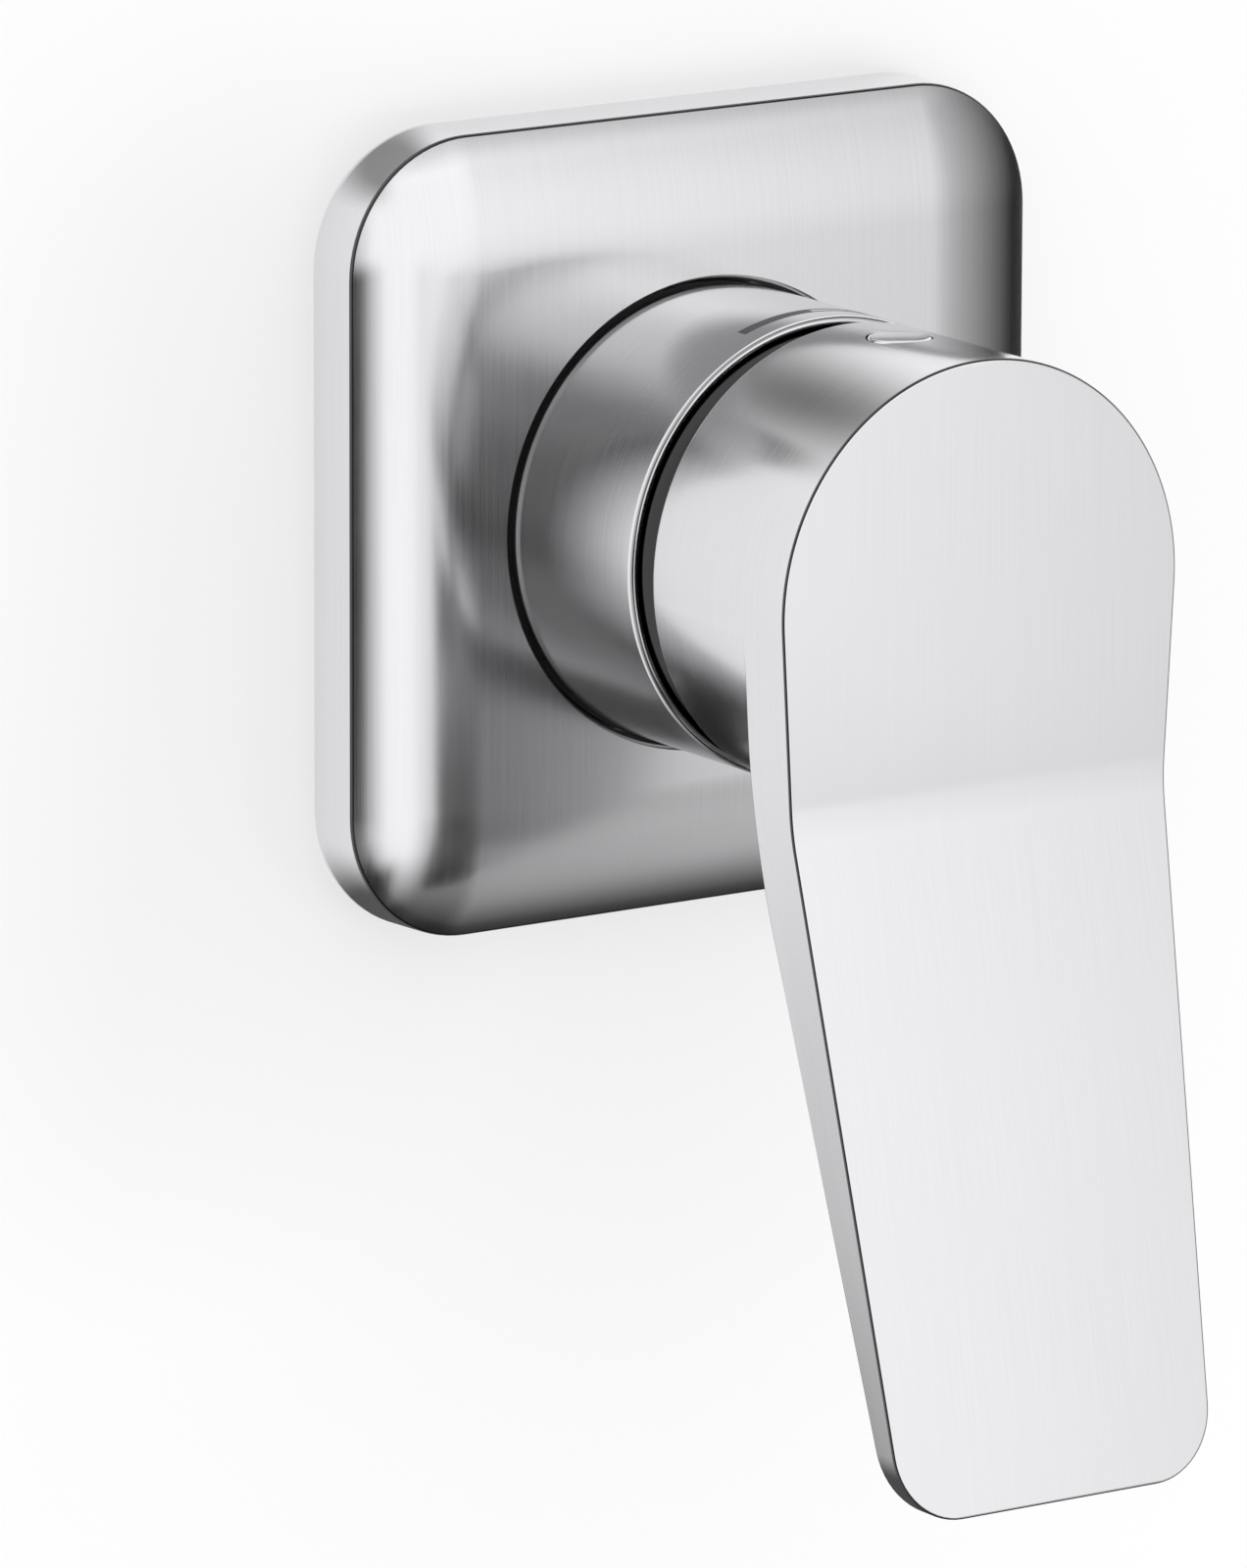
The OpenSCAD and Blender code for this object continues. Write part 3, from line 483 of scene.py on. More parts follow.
def new_group(name, inputs, outputs, kind="ShaderNodeTree"):
    """An empty node group with named inputs and outputs, as its wiring, input node and output node."""
    tree = bpy.data.node_groups.new(name, kind)
    for label, value in inputs.items():
        socket_type = "NodeSocket" + SOCKETS[type(value)]
        made = tree.interface.new_socket(label, in_out="INPUT", socket_type=socket_type)
        if value is not None:
            made.default_value = value
    for label in outputs:
        socket_type = "NodeSocket" + ("Geometry" if label == "Geometry" else "Float")
        tree.interface.new_socket(label, in_out="OUTPUT", socket_type=socket_type)
    wires = Wiring(tree)
    return wires, wires.add("NodeGroupInput").outputs, wires.add("NodeGroupOutput").inputs


def new_shape(name, inputs):
    """An empty geometry node group with a finish among its inputs."""
    return new_group(name, {**inputs, "Finish": None}, ["Geometry"], "GeometryNodeTree")


def shaped(wires, into, out, form):
    """Gives a geometry node group's form out as one mesh in its finish."""
    real = wires.first("GeometryNodeRealizeInstances", {0: form})
    painted = wires.first("GeometryNodeSetMaterial", {"Geometry": real, "Material": into["Finish"]})
    wires.feed(out["Geometry"], painted)
    return wires.tree


def group(build):
    """The node group that a function makes, built at its first use."""
    name = build.__name__.replace("_", " ").capitalize()
    return bpy.data.node_groups.get(name) or build(name)


def look(name, build, *options):
    """The material of that name, built at its first use."""
    return bpy.data.materials.get(name) or build(name, *options)


def brush_marks(name):
    """Fine lines along Z: each line's shade, and the softer bands that a brushed face shows."""
    inputs = {"Place": Vector(), "Line width": 0.0001, "Line length": 0.01}
    wires, into, out = new_group(name, inputs, ["Line", "Band"])
    width, run = into["Line width"], into["Line length"]
    lines = wires.first("ShaderNodeCombineXYZ", {0: width, 1: width, 2: run})
    place = wires.vector("DIVIDE", into["Place"], lines)
    wires.feed(out["Line"], wires.noise(place, 1.0, 3.0, 0.65))
    wires.feed(out["Band"], wires.noise(place, 0.07, 2.0, 0.5))
    return wires.tree


def handling(name):
    """Soft cloudy patches, as hands and cleaning leave them."""
    wires, into, out = new_group(name, {"Size": 0.02}, ["Cloud"])
    cloud = wires.noise(wires.place(), wires.math("DIVIDE", 1.0, into["Size"]), 3.0, 0.6)
    wires.feed(out["Cloud"], wires.ramp(cloud, 0.35, 0.65))
    return wires.tree


def grain(name):
    """Fine grain over coarser swells, as moulds, castings and lapped faces show."""
    wires, into, out = new_group(name, {"Size": 0.001}, ["Grain", "Swell"])
    place = wires.place()
    scale = wires.math("DIVIDE", 1.0, into["Size"])
    wires.feed(out["Grain"], wires.noise(place, scale, 3.0, 0.6))
    wires.feed(out["Swell"], wires.noise(place, wires.times(scale, 0.12), 2.0))
    return wires.tree


def lathe_marks(name):
    """Fine rings round an axis, as a lathe leaves them."""
    wires, into, out = new_group(name, {"Middle": Vector(), "Axis": Vector(), "Pitch": 0.0002}, ["Ring"])
    arm = wires.vector("SUBTRACT", wires.place(), into["Middle"])
    radius = wires.reach("LENGTH", wires.vector("CROSS_PRODUCT", arm, into["Axis"]))
    height = wires.reach("DOT_PRODUCT", arm, into["Axis"])
    spot = wires.first("ShaderNodeCombineXYZ", {0: radius, 1: height})
    wires.feed(out["Ring"], wires.noise(wires.vector("DIVIDE", spot, into["Pitch"]), 1.0, 3.0, 0.6))
    return wires.tree


# Kinds of chrome: width and depth of the hair lines in metres, share of the chrome's own brightness left
# after painted shade (below 1 where shade is painted on the edges and the gap dome), matting
CHROMES = {
    "Satin chrome": (0.00015, 0.0000005, 1.0, 0.0),
    "Plate chrome": (0.00015, 0.0000005, 1.0, 0.085),
    "Fine chrome": (0.0003, 0.0000001, 1.0, 0.0),
    # Painted shade: this chrome is darkened to paint the dark line along the plate's and the lever's front
    # edges
    "Edge chrome": (0.0003, 0.0000001, 0.15, 0.0),
    # Painted shade: this chrome is darkened to paint the shade in the gap between sleeve and lever onto the
    # dome
    "Smoked chrome": (0.0003, 0.0000001, 0.07, 0.0),
}
# Length of the hair lines, in metres
HAIR_LENGTH = 0.02
# Most of a noise's values lie between these two
NOISE_RANGE = (0.3, 0.7)
# The plate's flat middle is more finely matted than its rounded rim: full up to, none from, in millimetres
MATTED = (25, 36)
# Distance between the rings on turned metal, in metres
LATHE_PITCH = 0.00022
# Base roughness of turned metal
MACHINED_ROUGH = 0.24
# How many spangles of zinc, bubbles of foam and grains of enamel lie on a metre
SPANGLES, BUBBLES, ENAMEL_GRAINS = 260.0, 2200.0, 6000.0


def satin(name, width, depth, lit_share, matted):
    """Fine brushed chrome: bright neutral metal with hair lines and soft bands along the brushing, darkened
    as painted shade where its lit share is below 1.
    """
    paint = Paint(name, 1.0, 0.12)
    place = paint.add("ShaderNodeAttribute", attribute_name=BRUSHING).outputs["Vector"]
    marks = paint.effect(brush_marks, Place=place, Line_width=width, Line_length=HAIR_LENGTH)
    cloud = paint.effect(handling)["Cloud"]
    rough = paint.ramp(marks["Line"], *NOISE_RANGE, 0.115, 0.145)
    rough = paint.plus(rough, paint.times(cloud, 0.015))
    if matted:
        x, y, z = paint.parts(paint.place())
        reach = paint.math("MAXIMUM", paint.size(x), paint.size(z))
        full, none = [edge * MM for edge in MATTED]
        rough = paint.plus(rough, paint.ramp(reach, full, none, matted, 0.0))
    paint.rough(rough)
    bright = paint.plus(marks["Line"], paint.times(marks["Band"], 0.2))
    # A share below 1 paints shade into the chrome's base colour
    paint.shade(paint.ramp(bright, 0.35, 0.85), [part * lit_share for part in CHROME], 0.98, 1.02)
    paint.bump(marks["Line"], depth)
    return paint.look


def chrome(name):
    """The chrome of that name."""
    return look(name, satin, *CHROMES[name])


def machined(name, metal, middle, axis):
    """Turned metal: lathe rings, with the haze that handling leaves."""
    paint = Paint(name, 1.0, MACHINED_ROUGH)
    ring = paint.effect(lathe_marks, Middle=middle, Axis=axis, Pitch=LATHE_PITCH)["Ring"]
    cloud = paint.effect(handling, Size=0.012)["Cloud"]
    rough = paint.ramp(ring, *NOISE_RANGE, MACHINED_ROUGH, MACHINED_ROUGH + 0.1)
    paint.rough(paint.plus(rough, paint.times(cloud, 0.08)))
    tone = paint.times(paint.ramp(ring, 0.25, 0.75), paint.ramp(cloud, 0, 1, 1, 0.8))
    paint.shade(tone, metal, 0.9, 1.06)
    paint.bump(ring, 0.000003)
    return paint.look


def cast(name, metal, hex_start, neck, inlet, outlet):
    """Sand-cast brass, turned bright on its neck, on its hexagons and round its threads."""
    paint = Paint(name, 1.0, 0.4)
    x, y, z = paint.parts(paint.place())
    on_inlet, on_outlet = [paint.math("GREATER_THAN", paint.size(reach), hex_start) for reach in (x, z)]
    radius = paint.math("SQRT", paint.plus(paint.times(x, x), paint.times(z, z)))
    on_neck = paint.math("LESS_THAN", radius, neck)
    bright = paint.math("MAXIMUM", on_neck, paint.math("MAXIMUM", on_inlet, on_outlet))
    ring = paint.effect(lathe_marks, Middle=Vector(), Axis=OUT, Pitch=LATHE_PITCH)["Ring"]
    for mask, middle, axis in ((on_inlet, inlet, RIGHT), (on_outlet, outlet, UP)):
        other = paint.effect(lathe_marks, Middle=middle, Axis=axis, Pitch=LATHE_PITCH)["Ring"]
        ring = paint.mix(mask, ring, other)
    sand = paint.effect(grain, Size=0.0009)
    cloud = paint.effect(handling, Size=0.016)["Cloud"]
    rough_cast = paint.ramp(sand["Grain"], *NOISE_RANGE, 0.36, 0.5)
    rough_bright = paint.plus(paint.ramp(ring, *NOISE_RANGE, 0.2, 0.3), paint.times(cloud, 0.06))
    paint.rough(paint.mix(bright, rough_cast, rough_bright))
    dull = paint.plus(paint.times(sand["Swell"], 0.5), paint.times(cloud, 0.25))
    paint.shade(paint.mix(bright, dull, paint.ramp(ring, 0.2, 0.8, 0.7, 1)), metal, 0.74, 1.05)
    paint.bump(paint.mix(bright, sand["Grain"], paint.times(ring, 0.04)), 0.00007)
    return paint.look


def zinc(name, metal):
    """Zinc-plated steel: spangles of slightly different shade and gloss."""
    paint = Paint(name, 1.0, 0.35)
    cells = paint.add("ShaderNodeTexVoronoi", {"Vector": paint.place(), "Scale": SPANGLES}).outputs["Color"]
    shade = paint.first("ShaderNodeSeparateColor", {0: cells})
    fine = paint.effect(grain, Size=0.0004)["Grain"]
    cloud = paint.effect(handling, Size=0.03)["Cloud"]
    tone = paint.plus(paint.times(shade, 0.6), paint.times(fine, 0.4))
    paint.shade(tone, metal, 0.86, 1.1)
    paint.rough(paint.plus(paint.ramp(tone, 0, 1, 0.28, 0.42), paint.times(cloud, 0.06)))
    paint.bump(fine, 0.00001)
    return paint.look


def moulded(name, plastic, rough):
    """Moulded plastic: spark-eroded grain, faint flow and handling."""
    paint = Paint(name, 0.0, rough)
    texture = paint.effect(grain, Size=0.00035)
    cloud = paint.effect(handling, Size=0.015)["Cloud"]
    tone = paint.plus(paint.times(texture["Swell"], 0.6), paint.times(texture["Grain"], 0.4))
    paint.shade(tone, plastic, 0.92, 1.05)
    gloss = paint.ramp(texture["Grain"], *NOISE_RANGE, rough - 0.05, rough + 0.06)
    paint.rough(paint.plus(gloss, paint.times(cloud, 0.05)))
    paint.bump(texture["Grain"], 0.000012)
    return paint.look


def lapped(name, ceramic):
    """Fired and lapped ceramic: dense, faintly speckled, with a silky gloss."""
    paint = Paint(name, 0.0, 0.22)
    fine = paint.effect(grain, Size=0.00012)["Grain"]
    speck = paint.times(paint.ramp(fine, 0.62, 0.72), 0.6)
    paint.shade(paint.less(1.0, speck), ceramic, 0.84, 1.02)
    paint.rough(paint.ramp(fine, *NOISE_RANGE, 0.18, 0.28))
    paint.bump(fine, 0.000002)
    return paint.look


def rubber(name, black):
    """Moulded rubber: matt, with a grey bloom."""
    paint = Paint(name, 0.0, 0.6)
    fine = paint.effect(grain, Size=0.0003)["Grain"]
    bloom = paint.effect(handling, Size=0.006)["Cloud"]
    tone = paint.plus(paint.times(bloom, 0.5), paint.times(fine, 0.5))
    paint.shade(tone, black, 0.7, 1.5)
    paint.rough(paint.ramp(tone, 0.2, 0.8, 0.52, 0.7))
    paint.bump(fine, 0.00001)
    return paint.look


def foamed(name, grey):
    """Closed-cell foam: small bubbles, cut open at the faces."""
    paint = Paint(name, 0.0, 0.9)
    bubble = paint.first("ShaderNodeTexVoronoi", {"Vector": paint.place(), "Scale": BUBBLES})
    edge = paint.ramp(bubble, 0.1, 0.55)
    # The colour is darker in the bubbles' pits, which the bump sinks: painted shade in the hollows
    paint.shade(edge, grey, 0.55, 1.3)
    paint.rough(paint.ramp(bubble, 0.0, 0.6, 0.95, 0.8))
    paint.bump(edge, 0.00012)
    return paint.look


def enamel(name, dark):
    """Filled engraving: dark satin enamel with a fine grain."""
    paint = Paint(name, 0.0, 0.4)
    fine = paint.noise(paint.place(), ENAMEL_GRAINS)
    paint.shade(paint.ramp(fine, *NOISE_RANGE), dark, 1.0, 1.5)
    paint.bump(fine, 0.00001)
    return paint.look


# Slopes to the front between which a face near the front edge belongs to it, 0 for a side and 1 for the front
PLATE_SLOPES, LEVER_SLOPES = (0.05, 0.9), (0.1, 0.94)


def darken(piece, slopes, is_near):
    """Paints shade on a piece's broken front edge: the faces near it take a darkened chrome that stands in
    for the edge's dark line.
    """
    steepest, flattest = slopes
    piece.data.materials.append(chrome("Edge chrome"))
    for face in piece.data.polygons:
        if steepest < face.normal.dot(OUT) < flattest and is_near(face.center / MM):
            face.material_index = 1


# Steps along a side, round a corner and over the shoulder of the plate
SIDE_STEPS, FAN_STEPS, SHOULDER_STEPS = 24, 20, 22
# Width of the band at the rim that holds the plate's rounded edge, in millimetres
EDGE_BAND = 1


def plate_row(sizes, beyond, out, hole=None):
    """One row round the plate: so far beyond its flat middle, or round the hole at that radius."""
    flat = PLATE_HALF - mm(sizes.draft) - mm(sizes.corner_r)
    row = []
    for quarter in range(4):
        turn = Matrix.Rotation(math.radians(90 * quarter), 2)
        for k in range(1, SIDE_STEPS):
            aim = math.radians(-45 + 90 * k / SIDE_STEPS)
            point = Vector((flat + beyond, flat * math.tan(aim)))
            if hole is not None:
                point = Vector((hole * math.cos(aim), hole * math.sin(aim)))
            row.append(turn @ point)
        for k in range(FAN_STEPS + 1):
            aim = math.radians(90 * k / FAN_STEPS)
            point = Vector((flat, flat)) + beyond * Vector((math.cos(aim), math.sin(aim)))
            if hole is not None:
                point = hole * Vector((1, 1)).normalized()
            row.append(turn @ point)
    return [at(point.x, point.y, out) for point in row]


class MIXER_OT_wall_plate(bpy.types.Operator):
    """Makes the hollow square plate with curved shoulders and a chamfered hole"""
    bl_idname = "mixer.wall_plate"
    bl_label = "Wall plate"

    def execute(self, context):
        sizes = context.scene.mixer_plate
        corner, crown, wall, draft = mm(sizes.corner_r), mm(sizes.crown), mm(sizes.wall), mm(sizes.draft)
        arc_r = (corner ** 2 + crown ** 2) / (2 * crown)
        hole, chamfer = SLEEVE_R + mm(sizes.hole_gap), mm(sizes.hole_chamfer)
        rim = PLATE_TOP - crown

        def shoulder(radius, beyond):
            return PLATE_TOP - arc_r + math.sqrt(radius ** 2 - beyond ** 2)

        near, far = corner - EDGE_BAND, corner - wall
        edge = [(corner + draft, 0), (corner, rim), (near, shoulder(arc_r, near))]
        shares = [k / SHOULDER_STEPS for k in range(SHOULDER_STEPS + 1)]
        rows = [plate_row(sizes, *spot) for spot in rounded(edge, [0, mm(sizes.edge_r), 0])[:-1]]
        for beyond in [near * (1 - part) for part in shares]:
            rows.append(plate_row(sizes, beyond, shoulder(arc_r, beyond)))
        rows.append(plate_row(sizes, 0, PLATE_TOP, hole + chamfer))
        rows.append(plate_row(sizes, 0, PLATE_TOP - chamfer, hole))
        rows.append(plate_row(sizes, 0, PLATE_TOP - wall, hole))
        for beyond in [far * part for part in shares]:
            rows.append(plate_row(sizes, beyond, shoulder(arc_r - wall, beyond)))
        rows.append(plate_row(sizes, far + draft, 0))
        bm = bmesh.new()
        skin(bm, rows)
        piece = settle("brushed_plate", bm)

        def upright(place, normal):
            return place.x, -min(-place.y, rim * MM), place.z

        finished(brush(piece, upright), "mixer", "satin_trim", chrome("Plate chrome"), "wall_plate")
        flat = PLATE_HALF - draft - corner

        def on_rim(middle):
            beyond = math.hypot(max(abs(middle.x) - flat, 0), max(abs(middle.z) - flat, 0))
            return beyond > corner + draft - EDGE_BAND

        # Paints shade on the plate's rounded rim edge with the darkened edge chrome
        darken(piece, PLATE_SLOPES, on_rim)
        return {"FINISHED"}


# The corner of the tube's section that is its lip, steps along its rounding, and how far the other edges are
# broken, in millimetres
LIP_CORNER, LIP_STEPS, TUBE_BREAK = 2.0, 6, 0.1


def turned_tube(name):
    """Geometry nodes that turn a tube with a rounded lip: a four-cornered section swept round a circle."""
    wires, into, out = new_shape(name, {
        "Outer radius": 0.02, "Wall": 0.001, "Back": 0.0, "Front": 0.02, "Lip rounding": 0.0005,
        "Break": 0.0001, "Steps": TURN_STEPS})
    inner = wires.less(into["Outer radius"], into["Wall"])
    thick, back, front = wires.less(into["Outer radius"], inner), into["Back"], into["Front"]
    section = wires.four_cornered([(0.0, back), (thick, back), (thick, front), (0.0, front)])
    is_lip = wires.math("COMPARE", wires.first("GeometryNodeInputIndex"), LIP_CORNER, 0.1)
    extra = wires.less(into["Lip rounding"], into["Break"])
    radius = wires.plus(into["Break"], wires.times(extra, is_lip))
    corners = {"Curve": section, "Radius": radius, "Count": LIP_STEPS}
    fillet = wires.first("GeometryNodeFilletCurve", corners, mode="POLY")
    circle = wires.first("GeometryNodeCurvePrimitiveCircle", {"Resolution": into["Steps"], "Radius": inner})
    tube = wires.first("GeometryNodeCurveToMesh", {"Curve": circle, "Profile Curve": fillet})
    stood = wires.first("GeometryNodeTransform", {"Geometry": tube, "Rotation": (-math.pi / 2, 0, 0)})
    return shaped(wires, into, out, stood)


def from_nodes(name, build, inputs, place=None):
    """A plain mesh object made by a group of geometry nodes, moved by place."""
    holder = placed(name + "_nodes", bpy.data.meshes.new(name))
    modifier = holder.modifiers.new("Nodes", "NODES")
    modifier.node_group = group(build)
    for item in modifier.node_group.interface.items_tree:
        if item.in_out == "INPUT" and item.name in inputs:
            modifier[item.identifier] = inputs[item.name]
    holder.update_tag()
    mesh = applied(holder)
    bpy.data.objects.remove(holder)
    bm = opened(mesh)
    if place:
        bm.transform(place)
    bmesh.ops.remove_doubles(bm, verts=bm.verts, dist=SAME_PLACE)
    bmesh.ops.recalc_face_normals(bm, faces=bm.faces)
    return show(name, closed(bm, mesh))


class MIXER_OT_sleeve(bpy.types.Operator):
    """Makes the round sleeve with its rounded lip"""
    bl_idname = "mixer.sleeve"
    bl_label = "Sleeve"

    def execute(self, context):
        sizes, paint = context.scene.mixer_plate, chrome("Fine chrome")
        inputs = {
            "Outer radius": SLEEVE_R * MM, "Wall": sizes.sleeve_wall, "Back": SLEEVE_BACK * MM,
            "Front": LIP_OUT * MM, "Lip rounding": sizes.lip_r, "Break": TUBE_BREAK * MM,
            "Steps": TURN_STEPS, "Finish": paint}
        piece = from_nodes("round_sleeve", turned_tube, inputs)
        finished(brush(piece, brushed_round), "mixer", "satin_trim", paint, "sleeve")
        return {"FINISHED"}


# How deep the marks' enamel reaches into the sleeve, in millimetres
MARK_DEPTH = 0.05
# Steps along a mark
MARK_STEPS = 16
HOT_ENAMEL = (0.055, 0.055, 0.06)
COLD_ENAMEL = (0.12, 0.12, 0.13)


def inlay(name, sizes, turns, outs, filled):
    """Thin curved enamel on the sleeve: the filled cells of a grid of angles and distances out."""
    bm = bmesh.new()
    radii = (SLEEVE_R - MARK_DEPTH, SLEEVE_R + mm(sizes.mark_rise))
    spots = {}
    for i, turn in enumerate(turns):
        for j, out in enumerate(outs):
            spots[i, j] = [bm.verts.new(at(r * math.cos(turn), r * math.sin(turn), out)) for r in radii]
    cells = {(i, j) for i in range(len(turns) - 1) for j in range(len(outs) - 1) if filled(i, j)}
    for i, j in sorted(cells):
        corners = [(i, j), (i + 1, j), (i + 1, j + 1), (i, j + 1)]
        for level in (0, 1):
            bm.faces.new([spots[corner][level] for corner in corners])
        for number, beside in enumerate([(i, j - 1), (i + 1, j), (i, j + 1), (i - 1, j)]):
            if beside not in cells:
                one, other = spots[corners[number]], spots[corners[(number + 1) % 4]]
                bm.faces.new((one[0], other[0], other[1], one[1]))
    loose = [vert for vert in bm.verts if not vert.link_faces]
    bmesh.ops.delete(bm, geom=loose, context="VERTS")
    return settle(name, bm)


class MIXER_OT_marks(bpy.types.Operator):
    """Makes the filled hot mark and the outlined cold mark"""
    bl_idname = "mixer.marks"
    bl_label = "Hot and cold marks"

    def execute(self, context):
        sizes = context.scene.mixer_plate
        top, sweep = math.pi / 2, sizes.mark_angle
        middle, half, line = LIP_OUT - mm(sizes.mark_back), mm(sizes.mark_w) / 2, mm(sizes.mark_line)
        outs = [middle - half, middle - half + line, middle + half - line, middle + half]
        hot_turns = [top + sweep * k / MARK_STEPS for k in range(MARK_STEPS + 1)]
        hot = inlay("hot_bar", sizes, hot_turns, outs, lambda i, j: True)
        finished(hot, "mixer", "hot_enamel", look("Hot enamel", enamel, HOT_ENAMEL), "hot_mark")
        ends = [0, line / SLEEVE_R, sweep - line / SLEEVE_R, sweep]
        inner = [ends[1] + (ends[2] - ends[1]) * k / MARK_STEPS for k in range(1, MARK_STEPS)]
        cold_turns = [top - turn for turn in sorted(ends + inner)]
        last = len(cold_turns) - 2
        cold = inlay("cold_outline", sizes, cold_turns, outs, lambda i, j: j != 1 or i in (0, last))
        finished(cold, "mixer", "cold_enamel", look("Cold enamel", enamel, COLD_ENAMEL), "cold_mark")
        return {"FINISHED"}


# How far behind the sleeve's lip the dome's skirt ends, in millimetres, and steps along the dome
DOME_STEP = 0.5
DOME_STEPS = 20


class MIXER_OT_cover_dome(bpy.types.Operator):
    """Makes the dome that closes the gap between sleeve and lever"""
    bl_idname = "mixer.cover_dome"
    bl_label = "Cover dome"

    def execute(self, context):
        sizes = context.scene.mixer_lever
        skirt_r = side_of("cover_dome", 0, 1)
        back, rim = -side_of("cover_dome", 1, 1), -side_of("cover_dome", 1, 0)
        pivot, bore = LIP_OUT - mm(sizes.dome_pivot), mm(sizes.dome_bore)
        ball = math.hypot(skirt_r, mm(sizes.dome_pivot))
        inner = ball - mm(sizes.dome_wall)

        def zone(radius, low, high):
            start, end = math.acos(low / radius), math.acos(high / radius)
            turns = [start + (end - start) * k / DOME_STEPS for k in range(DOME_STEPS + 1)]
            return [(radius * math.sin(t), pivot + radius * math.cos(t)) for t in turns]

        section = [(bore, back), (skirt_r, back), (skirt_r, LIP_OUT - DOME_STEP)]
        section += zone(ball, LIP_OUT - pivot, rim - pivot)
        section += zone(inner, rim - pivot, math.sqrt(inner ** 2 - bore ** 2))
        piece = brush(turned("gap_dome", section), brushed_round)
        # The darkened chrome paints the gap's shade onto the dome
        finished(piece, "mixer", "satin_trim", chrome("Smoked chrome"), "cover_dome")
        return {"FINISHED"}


# Heights between which the hole for the index plug is cut, in millimetres
PLUG_CUT = (10, 30)
# The lever's front edge ends this many roundings behind its front
EDGE_REACH = 1.1


class MIXER_OT_lever(bpy.types.Operator):
    """Makes the lever: round cap, tapered blade that leans out, hollow behind"""
    bl_idname = "mixer.lever"
    bl_label = "Lever"

    def execute(self, context):
        sizes = context.scene.mixer_lever
        bm = bmesh.new()
        build_lever(bm, sizes)
        piece = settle("lever_blade_and_cap", bm)
        radius, (low, high) = mm(sizes.plug_r), PLUG_CUT
        hole = [(0, low), (radius, low), (radius, high), (0, high)]
        carve(piece, [turned("cutter", hole, lying(UP, CAP_REAR + mm(sizes.plug_back)), SMALL_STEPS)])
        finished(brush(piece, brushed_lever), "lever_arm", "satin_trim", chrome("Satin chrome"), "lever")
        front, band = CAP_REAR + mm(sizes.cap_d), EDGE_REACH * mm(sizes.edge_r)

        def on_front_edge(middle):
            face = bent(middle.z, front, mm(sizes.front_bend), mm(sizes.front_bend_r), sizes.front_lean)
            return -middle.y > face - band

        # Paints shade on the lever's front edge with the darkened edge chrome
        darken(piece, LEVER_SLOPES, on_front_edge)
        return {"FINISHED"}


# From this far below the axis, in metres, the marks on the lever's sides follow a lean of this angle
SIDE_LEAN = (0.02, math.radians(14))
# Faces that look more than this to the front or back carry the marks of the front and back
FACE_SLOPE = 0.7
# How far across the marks those of the sides lie from those of the front and back, in metres
SIDE_MARKS = 0.1


def brushed_lever(place, normal):
    """Marks that run down the front and back, and along the outline on the sides."""
    if abs(normal.y) > FACE_SLOPE:
        return place.x, 0, place.z
    run = place.z if place.z < 0 else SLEEVE_R * MM * (math.pi / 2 - math.atan2(abs(place.x), place.z))
    below, lean = SIDE_LEAN
    return SIDE_MARKS, place.y + max(0, -place.z - below) * math.tan(lean), run


# Steps on the lever's outline: round the cap, down to its foot, down the side and round the corner
CAP_STEPS, FOOT_STEPS, BLADE_STEPS, CORNER_STEPS = 46, 42, 26, 14
# Above 1, the steps down the side lie closer near the bend
STEP_GROWTH = 1.5
# Roundings in the lever's hollow, in millimetres: foot of the skirt, foot of the boss, its two edges
HOLLOW_RADII = (1, 0.6, 0.3, 0.3)


def lever_stations(sizes):
    """Points down the right side of the lever's outline, each with its outward direction."""
    taper, corner = sizes.taper, mm(sizes.corner_r)
    corner_v = corner - LEVER_DROP
    corner_x = (SLEEVE_R - corner + corner_v * math.sin(taper)) / math.cos(taper)
    outward = Vector((math.cos(taper), -math.sin(taper)))
    tangent, side_end = SLEEVE_R * outward, Vector((corner_x, corner_v)) + corner * outward
    stations = []
    for k in range(CAP_STEPS + 1):
        turn = math.pi / 2 - (math.pi / 2 + taper) * k / CAP_STEPS
        spot = Vector((math.cos(turn), math.sin(turn)))
        stations.append((SLEEVE_R * spot, spot))

    def on_side(v):
        share_down = (v - tangent.y) / (side_end.y - tangent.y)
        return tangent.lerp(side_end, share_down), outward

    for k in range(1, FOOT_STEPS + 1):
        turn = taper + (math.pi / 2 - taper) * k / FOOT_STEPS
        stations.append(on_side(-SLEEVE_R * math.sin(turn)))
    for k in range(1, BLADE_STEPS + 1):
        down = (k / BLADE_STEPS) ** STEP_GROWTH
        stations.append(on_side(-SLEEVE_R + (side_end.y + SLEEVE_R) * down))
    for k in range(1, CORNER_STEPS + 1):
        turn = -taper - (math.pi / 2 - taper) * k / CORNER_STEPS
        spot = Vector((math.cos(turn), math.sin(turn)))
        stations.append((Vector((corner_x, corner_v)) + corner * spot, spot))
    return stations


def on_cap(v):
    """How far to the right the cap's circle lies at height v."""
    return math.sqrt(max(SLEEVE_R ** 2 - v ** 2, 0))


